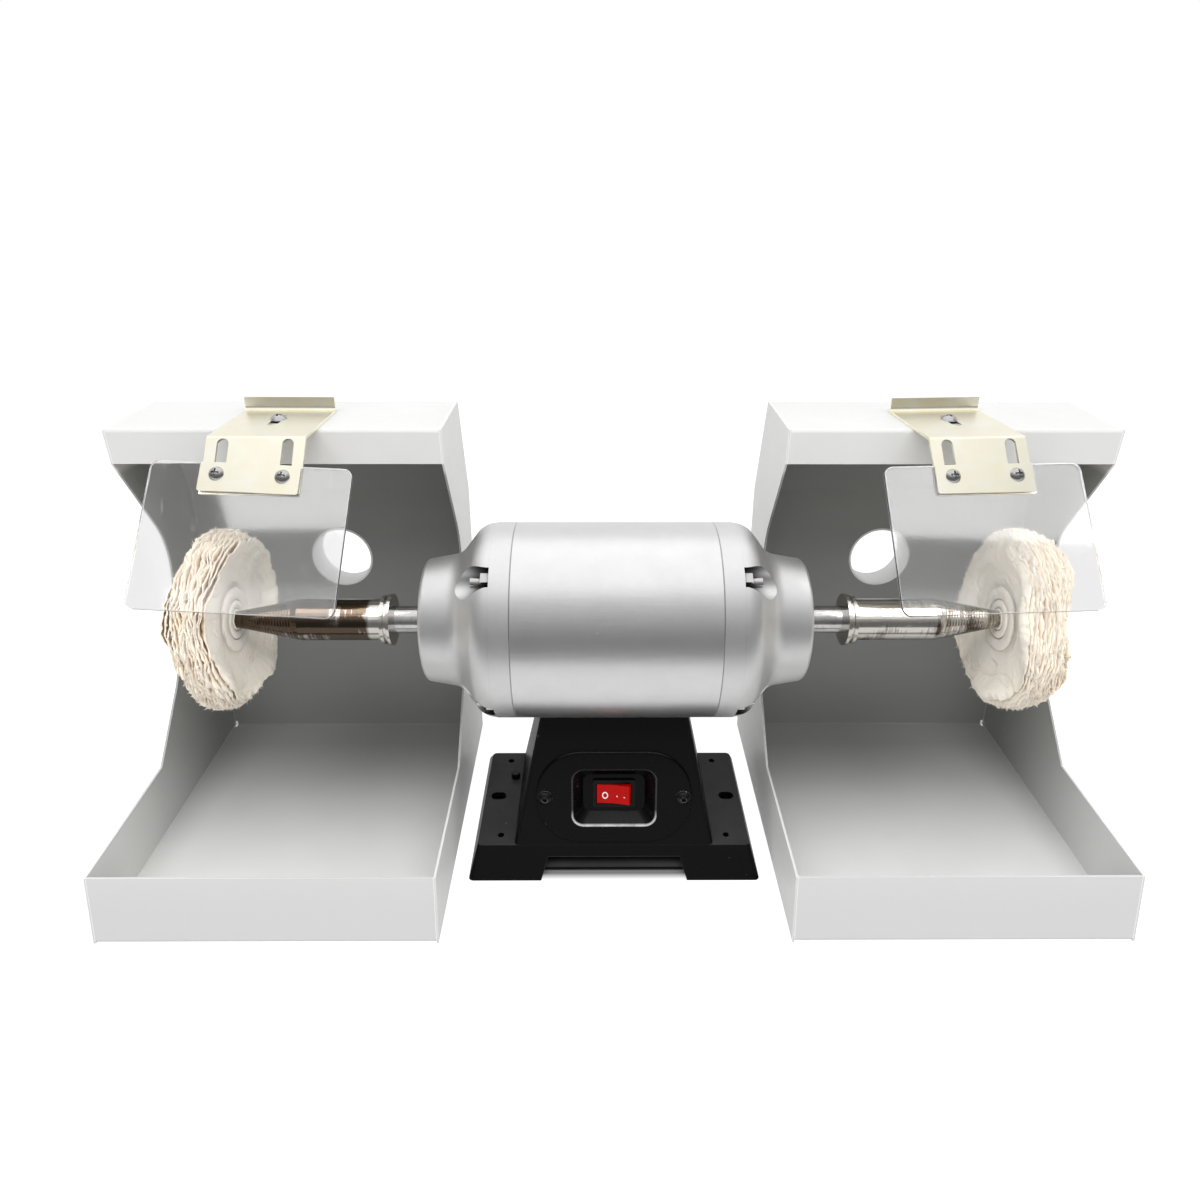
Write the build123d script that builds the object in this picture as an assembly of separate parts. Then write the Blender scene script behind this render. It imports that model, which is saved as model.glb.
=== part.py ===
from build123d import *

import os
from math import atan, cos, degrees, radians, sin

# A bench-top polishing lathe: one motor drives a tapered spindle at each end, and each
# spindle carries a cotton mop inside its own open-fronted hood with a clear shield.
# Millimetres. X runs along the spindle, Y points away from the user, Z is up and the bench
# top is Z = 0. Everything is built with the spindle axis over Y = 0; the last step moves it
# all by FRAME_Y, which puts the middle of the footprint on the origin.

# ---- clearances ---------------------------------------------------------------------
FIT = 0.03            # radial gap of a round piece pressed or seated in its bore
RUN = 0.06            # radial gap of a round piece that turns in its bore
SLIDE = 0.05          # gap between flat faces that slide on each other
TINY = 0.5            # how far a cutting tool runs past the face that it cuts
THREAD_PAST = 2.0     # how far a screw shows past the nut or wall that it holds

# ---- motor housing and end bells ----------------------------------------------------
AXIS_Z = 147.2        # spindle axis above the bench
BODY_R = 57.0         # outside radius of the housing
HOUSING_LENGTH = 112.6
HOUSING_WALL = 4.0
SEAM_BEVEL = 0.4      # bevel on both sides of the seam between housing and bell
BAND_LENGTH = 11.2    # straight band of a bell, beside the seam
BAND_STEP = 0.3       # small step where the band ends
SHOULDER_LENGTH = 18.2  # seam to the corner where the flare leaves the body
FLARE_LENGTH = 31.5   # seam to the root of the flare
FLARE_DROP = 17.8     # radius lost from the body to the root of the flare
NOSE_LENGTH = 52.4    # seam to the end face
NOSE_TAPER = 3.5      # radius lost from the root of the flare to the end face
SHOULDER_FILLET = 13.5
FLARE_FILLET = 12.0
NOSE_FILLET = 3.0
REGISTER_LENGTH = 4.0  # lip of a bell inside the housing
REGISTER_WALL = 3.0
CAVITY_THROAT_R = 30.0
CAVITY_MARGIN = 5.8   # cavity's throat before the root of the flare, along X
BELL_MARGIN = 2.5     # cavity's shoulder before the bell's own, along X

# ---- through bolts ------------------------------------------------------------------
BOLT_COUNT = 4
BOLT_INSET = 3.5      # bolt circle inside the housing's bore
BOLT_TURN = 38.0      # degrees from +Y to the first bolt
BOLT_R = 3.0
BOLT_HOLE_R = 3.3
BOLT_NUT_AF = 10.0
BOLT_NUT_LENGTH = 4.7
BOLT_END = 5.6        # thread beyond the nut
POCKET_R = 9.0
POCKET_WALL = 2.5
POCKET_FLOOR = 4.0

# ---- stator, rotor, shaft and bearings ----------------------------------------------
STACK_LENGTH = 70.0
STACK_DEPTH = 24.5    # from the housing's bore in to the stator's bore
AIR_GAP = 0.5
SLOT_COUNT = 24
SLOT_MOUTH_DEPTH = 2.5
SLOT_INSET = 3.2      # bottom of the slots inside the bolt holes
SLOT_WIDTH = 4.2
SLOT_MOUTH = 2.0
SLOT_LINER = 0.2
END_TURN_LENGTH = 14.0
END_TURN_INSET = 1.0  # bundle of end turns inside the bolts
END_RING_LENGTH = 6.0
END_RING_WALL = 10.0
SHAFT_CORE_R = 9.5
SHAFT_SEAT_R = 8.5    # 17 mm bearing seat
SHAFT_END_R = 8.0     # 16 mm shaft end
SHAFT_BEVEL = 1.0
SHAFT_REACH = 162.0   # middle to the end of the shaft
BEARING_R = 20.0
BEARING_WIDTH = 12.0
BEARING_SHOULDER_X = 88.7
BEARING_PITCH_R = 14.0
BALL_R = 3.38
BALL_COUNT = 8
RACE_LAND = 2.3       # pitch radius to the edge of each race
WASHER_THICKNESS = 1.0
BELL_THROAT_R = 12.0
SEAL_R = 14.0
SEAL_WIDTH = 5.0
SEAL_RECESS = 0.6

# ---- spindles -----------------------------------------------------------------------
SPINDLE_SEAT_LEFT = 129.2   # middle to the flange of the left spindle
SPINDLE_SEAT_RIGHT = 133.8
FLANGE_R = 15.2
FLANGE_WIDTH = 1.8
FLANGE_GROOVE_R = 13.2
FLANGE_GROOVE_WIDTH = 2.1
SECOND_FLANGE_R = 14.4
BARREL_R = 12.1
BARREL_END = 53.5     # flange face to the start of the taper
TAPER_LENGTH = 56.5
TAPER_TIP_R = 1.2
THREAD_START = 3.0    # plain taper before the first thread
THREAD_PITCH = 1.75
THREAD_DEPTH = 0.28
SET_SCREW_R = 3.0
SET_SCREW_AT = 12.0   # from the flange face
SET_SCREW_SINK = 0.8
SET_SCREW_SOCKET = 2.0
SET_SCREW_TURN = -52.0  # degrees above the horizontal, on the user's side

# ---- mops ---------------------------------------------------------------------------
MOP_AT = 98.0         # flange face of the spindle to the mop's middle
MOP_R = 54.0
MOP_RIM = 27.0        # thickness near the rim
MOP_PLIES = 6
MOP_PLY_CREASE = 2.6  # depth of the creases between plies at the rim
MOP_HUB_R = 19.5
MOP_HUB_WIDTH = 10.0
MOP_HUB_COVER = 1.0   # cotton proud of the hub on each side
MOP_SHOULDER_R = 43.0  # radius where the side starts to round into the rim

# ---- base ---------------------------------------------------------------------------
FOOT_HALF_X = 88.1
FOOT_HALF_Y = 60.1
EAR_HALF_X = 83.6
EAR_HALF_Y = 45.2
EAR_Z = 14.2          # top of the bolting ears
PEDESTAL_HALF_X = 61.0
SIDE_SLOPE = 0.212    # how far a side leans in per millimetre of height
PANEL_SLOPE = 0.231   # the same for the front and back panels
PEDESTAL_TOP = 100.0
BASE_WALL = 3.0
BASE_CORNER_R = 3.0
SADDLE_WALL = 4.0
NOTCH_HALF_X = 44.3
NOTCH_TOP_HALF_X = 40.2
NOTCH_HEIGHT = 9.5
EAR_SLOT_X = 75.0
EAR_SLOT_LENGTH = 10.0
EAR_SLOT_R = 3.5
EAR_HOLE_X = 70.0
EAR_HOLE_Y = 36.4
EAR_HOLE_R = 2.0
BOTTOM_HALF_X = 56.5
BOTTOM_HALF_Y = 52.0
BOTTOM_Z = 1.0
BOTTOM_THICKNESS = 2.0
BOSS_X = 50.0
BOSS_Y = 36.0
BOSS_R = 4.5
BOSS_HEIGHT = 20.0
BOTTOM_SCREW_R = 2.0
BOTTOM_SCREW_LENGTH = 11.0
BOTTOM_HOLE_SPARE = 1.0
EARTH_X = -65.4
EARTH_Y = 19.0
EARTH_SCREW_R = 2.0
EARTH_HEAD_AF = 5.0
EARTH_HEAD_HEIGHT = 3.2
EARTH_WASHER_R = 3.0
EARTH_WASHER_THICKNESS = 0.8
MOUNT_SCREW_R = 2.5
MOUNT_SCREW_X = 30.0
MOUNT_SCREW_TURN = 14.0
MOUNT_HEAD_R = 4.2
MOUNT_HEAD_HEIGHT = 4.5
MOUNT_SCREW_SHORT = 0.5  # end of the screw short of the housing's bore

# ---- switch -------------------------------------------------------------------------
PANEL_Z = 45.8        # height of the switch plate's middle
PLATE_LENGTH = 93.3
PLATE_HEIGHT = 59.2
PLATE_THICKNESS = 1.5
PLATE_END_R = 27.0
PLATE_SCREW_X = 41.6
PLATE_SCREW_R = 2.5
PLATE_HEAD_R = 4.75
PLATE_HEAD_HEIGHT = 2.8
PLATE_SOCKET_AF = 3.0
RECESS_LENGTH = 50.4
RECESS_HEIGHT = 37.2
RECESS_DEPTH = 7.0
RECESS_DRAFT = 6.4    # how much each side steps in from mouth to floor
RECESS_CORNER_R = 7.0
RECESS_RIM_R = 1.0
PANEL_CUT_MARGIN = 2.2
ROCKER_HALF = 9.8
ROCKER_TIP = 3.9      # rocker end above its pivot
ROCKER_VALLEY = 2.9   # middle of the rocker above its pivot
ROCKER_WIDTH = 12.2
ROCKER_DEPTH = 3.0    # below the pivot
ROCKER_GAP = 0.3
ROCKER_REST = 9.0     # degrees that the rocker leans to its OFF end
PIVOT_DEPTH = 2.5     # pivot below the face of the bezel
PIVOT_R = 1.1
PIVOT_REACH = 1.1     # pin beyond the rocker's side
BEZEL_LENGTH = 25.8
BEZEL_HEIGHT = 18.0
BEZEL_THICKNESS = 1.6
BEZEL_CORNER_R = 1.5
SWITCH_WALL = 1.4
SWITCH_DEPTH = 17.0
TERMINAL_LENGTH = 8.0
TERMINAL_WIDTH = 4.8
TERMINAL_THICKNESS = 0.8

# ---- fittings inside the base -------------------------------------------------------
CAPACITOR_R = 15.0
CAPACITOR_LENGTH = 52.0
CAPACITOR_X = -8.0
CAPACITOR_Y = 18.0
CLIP_THICKNESS = 1.2
CLIP_WIDTH = 14.0
CLIP_FOOT = 9.0
TERMINAL_BLOCK_LENGTH = 34.0
TERMINAL_BLOCK_WIDTH = 14.0
TERMINAL_BLOCK_HEIGHT = 12.0
TERMINAL_BLOCK_X = 26.0
TERMINAL_BLOCK_Y = -22.0
GLAND_X = 34.0
GLAND_Z = 34.0
GLAND_THREAD_R = 6.0
GLAND_BORE_R = 3.6
GLAND_HEX_AF = 18.0
GLAND_HEX_LENGTH = 5.0
GLAND_CAP_R = 8.4
GLAND_CAP_LENGTH = 11.0
GLAND_NUT_LENGTH = 4.0

# ---- hoods --------------------------------------------------------------------------
HOOD_INNER_X = 98.4   # middle of the lathe to a hood's inner side
HOOD_WIDTH = 191.4
SHEET = 1.2
HOOD_FRONT_Y = -105.7
HOOD_FOOT_BACK_Y = 98.8
HOOD_KINK_Y = 116.0
HOOD_KINK_Z = 186.0
ROOF_BACK_Y = 97.7
ROOF_FRONT_Y = 33.5
ROOF_Z = 251.2
LIP_HEIGHT = 20.2
TRAY_FRONT_Z = 39.4
TRAY_FRONT_LEAN = 9.9
TRAY_BACK_Y = -4.0
TRAY_BACK_Z = 41.5
MOUTH_LOW = (42.5, 82.0)    # Y, Z of the corner above the tray
MOUTH_DEEP = (72.6, 162.0)  # Y, Z of the deepest corner of the mouth
MOUTH_LOW_R = 40.0
MOUTH_DEEP_R = 50.0
FOLD_R = 2.0
HEM = 6.0             # folded edge on the tray front and on the lip
RELIEF = 4.0          # notch at the ends of the rear floor fold
PORT_X = 190.5        # middle of the lathe to the suction port
PORT_Z = 136.9
PORT_BORE_R = 19.8
PORT_WALL = 1.2
PORT_SEAM = 0.15      # radial gap of the spigot in the hole of the back panel
PORT_LENGTH = 20.0    # behind the back panel
PORT_FLANGE_R = 27.0
PORT_FLANGE_THICKNESS = 1.2

# ---- shield brackets and shields ----------------------------------------------------
BRACKET_X = 195.0
BRACKET_Y = 49.5      # clamping screw behind the spindle axis
BRACKET_YAW_LEFT = -0.7   # degrees, as the clamping screw holds it
BRACKET_YAW_RIGHT = 3.8
SHIELD_SKEW_LEFT = -2.7   # degrees in the shield's own plane, taken up by the slots
SHIELD_SKEW_RIGHT = 0.0
SHIELD_SHIFT_LEFT = 0.0   # sideways in the slots
SHIELD_SHIFT_RIGHT = -0.9
BRACKET_WIDTH = 54.0
BRACKET_SHEET = 1.5
BRACKET_FRONT = 35.1  # screw to the front bend
BRACKET_REAR = 21.0   # screw to the rear upstand
BRACKET_BEND_R = 2.2
UPSTAND = 7.6
FLANGE_LENGTH = 33.4
FLANGE_TILT = 41.2    # degrees from vertical
TOP_SLOT_FRONT = 13.0
TOP_SLOT_BACK = 9.0
TOP_SLOT_WIDTH = 5.6
TOP_SCREW_R = 2.45
TOP_HOLE_GAP = 0.3    # radial gap of the screw in the roof's hole
TOP_HEAD_R = 4.75
TOP_HEAD_HEIGHT = 2.8
TOP_NUT_AF = 8.0
TOP_NUT_HEIGHT = 4.0
SHIELD_SLOT_X = 17.75
SHIELD_SLOT_TOP = 1.2
SHIELD_SLOT_END = 29.0
SHIELD_SLOT_WIDTH = 6.4
SHIELD_WIDTH = 109.0
SHIELD_HEIGHT = 82.0
SHIELD_SHEET = 2.0
SHIELD_CORNER_R = 5.0
SHIELD_TOP = 17.1     # front bend to the shield's top edge, along the flange
CLAMP_SHEET = 1.0
SHIELD_SCREW_AT = 23.6  # front bend to the screws, along the flange
SHIELD_SCREW_R = 1.95
SHIELD_HEAD_R = 4.15
SHIELD_HEAD_HEIGHT = 2.5
SHIELD_NUT_AF = 7.0
SHIELD_NUT_HEIGHT = 3.2
NUT_FLANGE_R = 5.0
NUT_FLANGE_THICKNESS = 1.0
CROSS_WIDTH = 1.1
CROSS_LENGTH = 4.6
CROSS_DEPTH = 1.3

# ---- places worked out from the sizes above -----------------------------------------
HOUSING_BORE_R = BODY_R - HOUSING_WALL
BOLT_CIRCLE_R = HOUSING_BORE_R - BOLT_INSET
SLOT_OUTER_R = BOLT_CIRCLE_R - BOLT_HOLE_R - SLOT_INSET
END_TURN_BUNDLE_R = BOLT_CIRCLE_R - BOLT_R - END_TURN_INSET
FLARE_ROOT_R = BODY_R - FLARE_DROP
NOSE_R = FLARE_ROOT_R - NOSE_TAPER
HOUSING_END = HOUSING_LENGTH / 2
BAND_END = HOUSING_END + BAND_LENGTH
SHOULDER_X = HOUSING_END + SHOULDER_LENGTH
FLARE_X = HOUSING_END + FLARE_LENGTH
NOSE_X = HOUSING_END + NOSE_LENGTH
STACK_END = STACK_LENGTH / 2
STACK_R = HOUSING_BORE_R - FIT
STATOR_BORE_R = HOUSING_BORE_R - STACK_DEPTH
SLOT_INNER_R = STATOR_BORE_R + SLOT_MOUTH_DEPTH
REGISTER_BORE_R = HOUSING_BORE_R - REGISTER_WALL
ROTOR_R = STATOR_BORE_R - AIR_GAP
BEARING_END_X = BEARING_SHOULDER_X + BEARING_WIDTH
BOTTOM_TOP = BOTTOM_Z + BOTTOM_THICKNESS
PANEL_LEAN = degrees(atan(PANEL_SLOPE))
LIP_BOTTOM_Z = ROOF_Z - LIP_HEIGHT
BACK_LEAN = degrees(atan((HOOD_KINK_Y - HOOD_FOOT_BACK_Y) / HOOD_KINK_Z))
PORT_OUTER_R = PORT_BORE_R + PORT_WALL
PORT_Y = HOOD_FOOT_BACK_Y + (HOOD_KINK_Y - HOOD_FOOT_BACK_Y) * PORT_Z / HOOD_KINK_Z
HOOD_OUTER_X = HOOD_INNER_X + HOOD_WIDTH
HOOD_MID_X = (HOOD_INNER_X + HOOD_OUTER_X) / 2
PORT_BACK_Y = PORT_Y + PORT_LENGTH * cos(radians(BACK_LEAN)) + PORT_OUTER_R * sin(radians(BACK_LEAN))
FRAME_Y = -(HOOD_FRONT_Y + PORT_BACK_Y) / 2
BOLT_ANGLES = [BOLT_TURN + 360 / BOLT_COUNT * i for i in range(BOLT_COUNT)]
RECESS_FLOOR = PLATE_THICKNESS - RECESS_DEPTH
BEZEL_FACE = RECESS_FLOOR + BEZEL_THICKNESS
PIVOT_HEIGHT = BEZEL_FACE - PIVOT_DEPTH
SCREW_FACE = SLIDE + SHIELD_SHEET + CLAMP_SHEET


# ---- small helpers ------------------------------------------------------------------
def rod(x_start, x_end, radius, y=0.0, z=AXIS_Z):
    """A cylinder along X."""
    return Pos((x_start + x_end) / 2, y, z) * Rot(0, 90, 0) * Cylinder(radius, x_end - x_start)


def turned(*points):
    """A solid of revolution about the spindle axis, from (x, radius) points."""
    return Pos(0, 0, AXIS_Z) * revolve(make_face(Polyline(*points, close=True)), Axis.X)


def ring(x_start, x_end, inner, outer):
    """A plain ring on the spindle axis."""
    return turned((x_start, inner), (x_end, inner), (x_end, outer), (x_start, outer))


def around(angle, radius, x=0.0):
    """The place at an angle round the spindle axis, measured from +Y towards +Z."""
    return Pos(x, radius * cos(radians(angle)), AXIS_Z + radius * sin(radians(angle)))


def on_bolts(make):
    """One copy of a piece at each through bolt."""
    return [around(angle, BOLT_CIRCLE_R) * make for angle in BOLT_ANGLES]


def hexagon(across_flats, height):
    """A hexagonal prism standing on its own XY plane."""
    return extrude(RegularPolygon(across_flats / 2, 6, major_radius=False), height)


def post(radius, z_start, z_end):
    """A cylinder along Z between two heights."""
    return Pos(0, 0, (z_start + z_end) / 2) * Cylinder(radius, z_end - z_start)


def both_sides(piece):
    """A piece and its mirror image across the middle of the lathe."""
    return [piece, mirror(piece, Plane.YZ)]


def profile_yz(edges, x_start, x_end):
    """A closed outline in the YZ plane, extruded along X."""
    return Pos(x_start, 0, 0) * extrude(Plane.YZ * make_face(edges), x_end - x_start)


def dome_head(radius, height):
    """A button head: a flat underside and a rounded top."""
    sphere_r = (radius * radius + height * height) / (2 * height)
    return Pos(0, 0, height - sphere_r) * Sphere(sphere_r) & post(radius + TINY, 0, height + TINY)


def cross_recess(top):
    """The cross cut in a screw head whose top is at the given height."""
    arm = Box(CROSS_LENGTH, CROSS_WIDTH, 2 * CROSS_DEPTH)
    return Pos(0, 0, top) * (arm + Rot(0, 0, 90) * arm)


# ---- motor --------------------------------------------------------------------------
def motor_housing():
    bevel_end = HOUSING_END - SEAM_BEVEL
    tube = turned((-HOUSING_END, HOUSING_BORE_R), (HOUSING_END, HOUSING_BORE_R),
                  (HOUSING_END, BODY_R - SEAM_BEVEL), (bevel_end, BODY_R),
                  (-bevel_end, BODY_R), (-HOUSING_END, BODY_R - SEAM_BEVEL))
    return tube - mount_screw_places(post(MOUNT_SCREW_R + FIT, -BODY_R - TINY, -HOUSING_BORE_R + TINY))


def bell_outline():
    """Outside of the right-hand bell, from the seam to the edge of the seal bore."""
    flare_top = BODY_R - BAND_STEP
    band = Polyline((HOUSING_END, BODY_R - SEAM_BEVEL), (HOUSING_END + SEAM_BEVEL, BODY_R),
                    (BAND_END, BODY_R), (BAND_END, flare_top))
    flare = FilletPolyline((BAND_END, flare_top), (SHOULDER_X, flare_top), (FLARE_X, FLARE_ROOT_R),
                           (NOSE_X, NOSE_R), (NOSE_X, SEAL_R),
                           radius=[SHOULDER_FILLET, FLARE_FILLET, NOSE_FILLET])
    return band, flare


def end_bell():
    """The right-hand end bell; the left-hand one is its mirror image."""
    band, flare = bell_outline()
    closing = Polyline((NOSE_X, SEAL_R), (NOSE_X, 0), (HOUSING_END, 0), (HOUSING_END, BODY_R - SEAM_BEVEL))
    full = Pos(0, 0, AXIS_Z) * revolve(make_face([*band.edges(), *flare.edges(), *closing.edges()]), Axis.X)
    cavity_end = BEARING_SHOULDER_X - 2 * WASHER_THICKNESS
    cavity = turned((HOUSING_END - TINY, 0), (HOUSING_END - TINY, REGISTER_BORE_R),
                    (SHOULDER_X - BELL_MARGIN, REGISTER_BORE_R),
                    (FLARE_X - CAVITY_MARGIN, CAVITY_THROAT_R + CAVITY_MARGIN),
                    (cavity_end, CAVITY_THROAT_R), (cavity_end, 0))
    register = ring(HOUSING_END - REGISTER_LENGTH, HOUSING_END, REGISTER_BORE_R, HOUSING_BORE_R - FIT)
    pillar = rod(HOUSING_END, NOSE_X - SEAL_WIDTH, POCKET_R + POCKET_WALL, z=0)
    pillars = [full & piece for piece in on_bolts(pillar)]
    bell = full - cavity + register + pillars
    bell -= on_bolts(rod(BAND_END, NOSE_X, POCKET_R, z=0))
    bell -= on_bolts(rod(HOUSING_END - REGISTER_LENGTH - TINY, BAND_END + TINY, BOLT_HOLE_R, z=0))
    bell -= rod(cavity_end - TINY, BEARING_END_X + WASHER_THICKNESS, BEARING_R + FIT)
    bell -= rod(BEARING_END_X, NOSE_X, BELL_THROAT_R)
    return bell - rod(NOSE_X - SEAL_WIDTH - SEAL_RECESS, NOSE_X + TINY, SEAL_R)


def through_bolts():
    reach = BAND_END + BOLT_NUT_LENGTH + BOLT_END
    return on_bolts(rod(-reach, reach, BOLT_R, z=0))


def through_bolt_nuts():
    nut = Pos(BAND_END, 0, 0) * Rot(0, 90, 0) * (
        hexagon(BOLT_NUT_AF, BOLT_NUT_LENGTH) - post(BOLT_R + FIT, -TINY, BOLT_NUT_LENGTH + TINY))
    return [copy for bolt_nut in on_bolts(nut) for copy in both_sides(bolt_nut)]


def slot_places(piece):
    """Copies of a piece that points up from the axis, one at each stator slot."""
    return [Pos(0, 0, AXIS_Z) * Rot(360 / SLOT_COUNT * i, 0, 0) * piece for i in range(SLOT_COUNT)]


def slot_bar(half_length, inner, outer, width):
    return Pos(0, 0, (inner + outer) / 2) * Box(2 * half_length, width, outer - inner)


def stator_core():
    stack = ring(-STACK_END, STACK_END, STATOR_BORE_R, STACK_R)
    slot = slot_bar(STACK_END + TINY, SLOT_INNER_R, SLOT_OUTER_R, SLOT_WIDTH)
    mouth = slot_bar(STACK_END + TINY, STATOR_BORE_R - TINY, SLOT_INNER_R + TINY, SLOT_MOUTH)
    stack -= slot_places(slot + mouth)
    return stack - on_bolts(rod(-STACK_END - TINY, STACK_END + TINY, BOLT_HOLE_R, z=0))


def stator_windings():
    bar = slot_bar(STACK_END + SLOT_LINER + TINY, SLOT_INNER_R + SLOT_LINER, SLOT_OUTER_R - SLOT_LINER,
                   SLOT_WIDTH - 2 * SLOT_LINER)
    start = STACK_END + SLOT_LINER
    bundle = ring(start, start + END_TURN_LENGTH, SLOT_INNER_R - SLOT_LINER, END_TURN_BUNDLE_R)
    return slot_places(bar)[0] + slot_places(bar)[1:] + both_sides(bundle)


def rotor_core():
    return ring(-STACK_END, STACK_END, SHAFT_CORE_R + FIT, ROTOR_R)


def rotor_end_rings():
    outer = ROTOR_R - AIR_GAP
    return both_sides(ring(STACK_END, STACK_END + END_RING_LENGTH, outer - END_RING_WALL, outer))


def shaft():
    seat_end = NOSE_X - SEAL_WIDTH - SEAL_RECESS
    half = turned((0, 0), (0, SHAFT_CORE_R), (BEARING_SHOULDER_X, SHAFT_CORE_R),
                  (BEARING_SHOULDER_X, SHAFT_SEAT_R), (seat_end, SHAFT_SEAT_R),
                  (seat_end, SHAFT_END_R), (SHAFT_REACH - SHAFT_BEVEL, SHAFT_END_R),
                  (SHAFT_REACH, SHAFT_END_R - SHAFT_BEVEL), (SHAFT_REACH, 0))
    return half + mirror(half, Plane.YZ)


def race_groove():
    middle = BEARING_SHOULDER_X + BEARING_WIDTH / 2
    return Pos(middle, 0, AXIS_Z) * Rot(0, 90, 0) * Torus(BEARING_PITCH_R, BALL_R + RUN)


def bearing_outer_rings():
    outer = ring(BEARING_SHOULDER_X, BEARING_END_X, BEARING_PITCH_R + RACE_LAND, BEARING_R)
    return both_sides(outer - race_groove())


def bearing_inner_rings():
    inner = ring(BEARING_SHOULDER_X, BEARING_END_X, SHAFT_SEAT_R + FIT, BEARING_PITCH_R - RACE_LAND)
    return both_sides(inner - race_groove())


def bearing_balls():
    middle = BEARING_SHOULDER_X + BEARING_WIDTH / 2
    places = [around(360 / BALL_COUNT * i, BEARING_PITCH_R, middle) for i in range(BALL_COUNT)]
    balls = [place * Sphere(BALL_R) for place in places]
    return [copy for ball in balls for copy in both_sides(ball)]


def wave_washer():
    """The preload washer, shown pressed flat, behind the right-hand bearing."""
    return ring(BEARING_END_X, BEARING_END_X + WASHER_THICKNESS, BEARING_PITCH_R + RACE_LAND, BEARING_R - FIT)


def shaft_seals():
    end = NOSE_X - SEAL_RECESS
    return both_sides(ring(end - SEAL_WIDTH, end, SHAFT_END_R + RUN, SEAL_R - FIT))


# ---- spindles and mops --------------------------------------------------------------
def taper_radius(distance):
    """Radius of the spindle's taper at a distance from the flange face."""
    return BARREL_R + (TAPER_TIP_R - BARREL_R) * (distance - BARREL_END) / TAPER_LENGTH


def thread_points(seat):
    """Zigzag along the taper: a fine thread drawn as rings."""
    points = []
    turns = int((TAPER_LENGTH - 2 * THREAD_START) / THREAD_PITCH)
    for turn in range(turns):
        crest = BARREL_END + THREAD_START + turn * THREAD_PITCH
        root = crest + THREAD_PITCH / 2
        points.append((seat + crest, taper_radius(crest)))
        points.append((seat + root, taper_radius(root) - THREAD_DEPTH))
    return points


def spindle(seat, screw_angle):
    """A right-hand spindle with its flange face at x = seat."""
    groove = FLANGE_WIDTH + FLANGE_GROOVE_WIDTH
    barrel = groove + FLANGE_WIDTH
    bore = SHAFT_END_R + FIT
    bore_end = SHAFT_REACH + THREAD_PAST
    tip = seat + BARREL_END + TAPER_LENGTH
    body = turned((seat, bore), (seat, FLANGE_R), (seat + FLANGE_WIDTH, FLANGE_R),
                  (seat + FLANGE_WIDTH, FLANGE_GROOVE_R), (seat + groove, FLANGE_GROOVE_R),
                  (seat + groove, SECOND_FLANGE_R), (seat + barrel, SECOND_FLANGE_R),
                  (seat + barrel, BARREL_R), (seat + BARREL_END, BARREL_R),
                  *thread_points(seat), (tip, TAPER_TIP_R), (tip, 0), (bore_end, 0), (bore_end, bore))
    hole = post(SET_SCREW_R + FIT, SHAFT_END_R, BARREL_R + TINY)
    return body - set_screw_place(seat, screw_angle) * hole


def set_screw_place(seat, screw_angle):
    return Pos(seat + SET_SCREW_AT, 0, AXIS_Z) * Rot(90 - screw_angle, 0, 0)


def set_screw(seat, screw_angle):
    top = BARREL_R - SET_SCREW_SINK
    screw = post(SET_SCREW_R, SHAFT_END_R + FIT, top)
    socket = Pos(0, 0, top - SET_SCREW_SOCKET) * hexagon(SET_SCREW_R, SET_SCREW_SOCKET + TINY)
    return set_screw_place(seat, screw_angle) * (screw - socket)


def mop_hub(seat):
    """Stiff stitched centre of the mop, screwed on to the taper."""
    start = MOP_AT - MOP_HUB_WIDTH / 2
    end = MOP_AT + MOP_HUB_WIDTH / 2
    return turned((seat + start, taper_radius(start) + FIT), (seat + end, taper_radius(end) + FIT),
                  (seat + end, MOP_HUB_R), (seat + start, MOP_HUB_R))


def mop(seat):
    """Cotton plies: pinched at the hub, swollen at the rim, creased between the plies."""
    middle = seat + MOP_AT
    half_hub = MOP_HUB_WIDTH / 2 + MOP_HUB_COVER
    half_rim = MOP_RIM / 2
    ply = MOP_RIM / MOP_PLIES
    bore = MOP_HUB_R + FIT
    rim = []
    for i in range(MOP_PLIES):
        x = middle + half_rim - (i + 0.5) * ply
        share = (x - middle) / half_rim
        crown = MOP_R - (MOP_R - MOP_SHOULDER_R) * share ** 4
        rim.append((x, crown))
        if i < MOP_PLIES - 1:
            rim.append((x - ply / 2, crown - MOP_PLY_CREASE))
    return turned((middle - half_hub, bore), (middle + half_hub, bore),
                  (middle + half_rim, MOP_SHOULDER_R), *rim, (middle - half_rim, MOP_SHOULDER_R))


# ---- base ---------------------------------------------------------------------------
def slab(half_x, half_y, z, corner=BASE_CORNER_R):
    return Pos(0, 0, z) * RectangleRounded(2 * half_x, 2 * half_y, corner)


def frustum(low, high):
    """A tapered block between two rectangles given as (half x, half y, z)."""
    return loft([slab(*low), slab(*high)])


def pedestal_at(z, inset=0.0):
    lift = z - EAR_Z
    return (PEDESTAL_HALF_X - SIDE_SLOPE * lift - inset, EAR_HALF_Y - PANEL_SLOPE * lift - inset, z)


def front_panel():
    """Working plane on the front panel, at the middle of the switch plate."""
    y = EAR_HALF_Y - PANEL_SLOPE * (PANEL_Z - EAR_Z)
    lean = radians(PANEL_LEAN)
    return Plane((0, -y, PANEL_Z), x_dir=(1, 0, 0), z_dir=(0, -cos(lean), sin(lean)))


def gland_plane():
    y = EAR_HALF_Y - PANEL_SLOPE * (GLAND_Z - EAR_Z)
    lean = radians(PANEL_LEAN)
    return Plane((GLAND_X, y, GLAND_Z), x_dir=(-1, 0, 0), z_dir=(0, cos(lean), sin(lean)))


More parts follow.
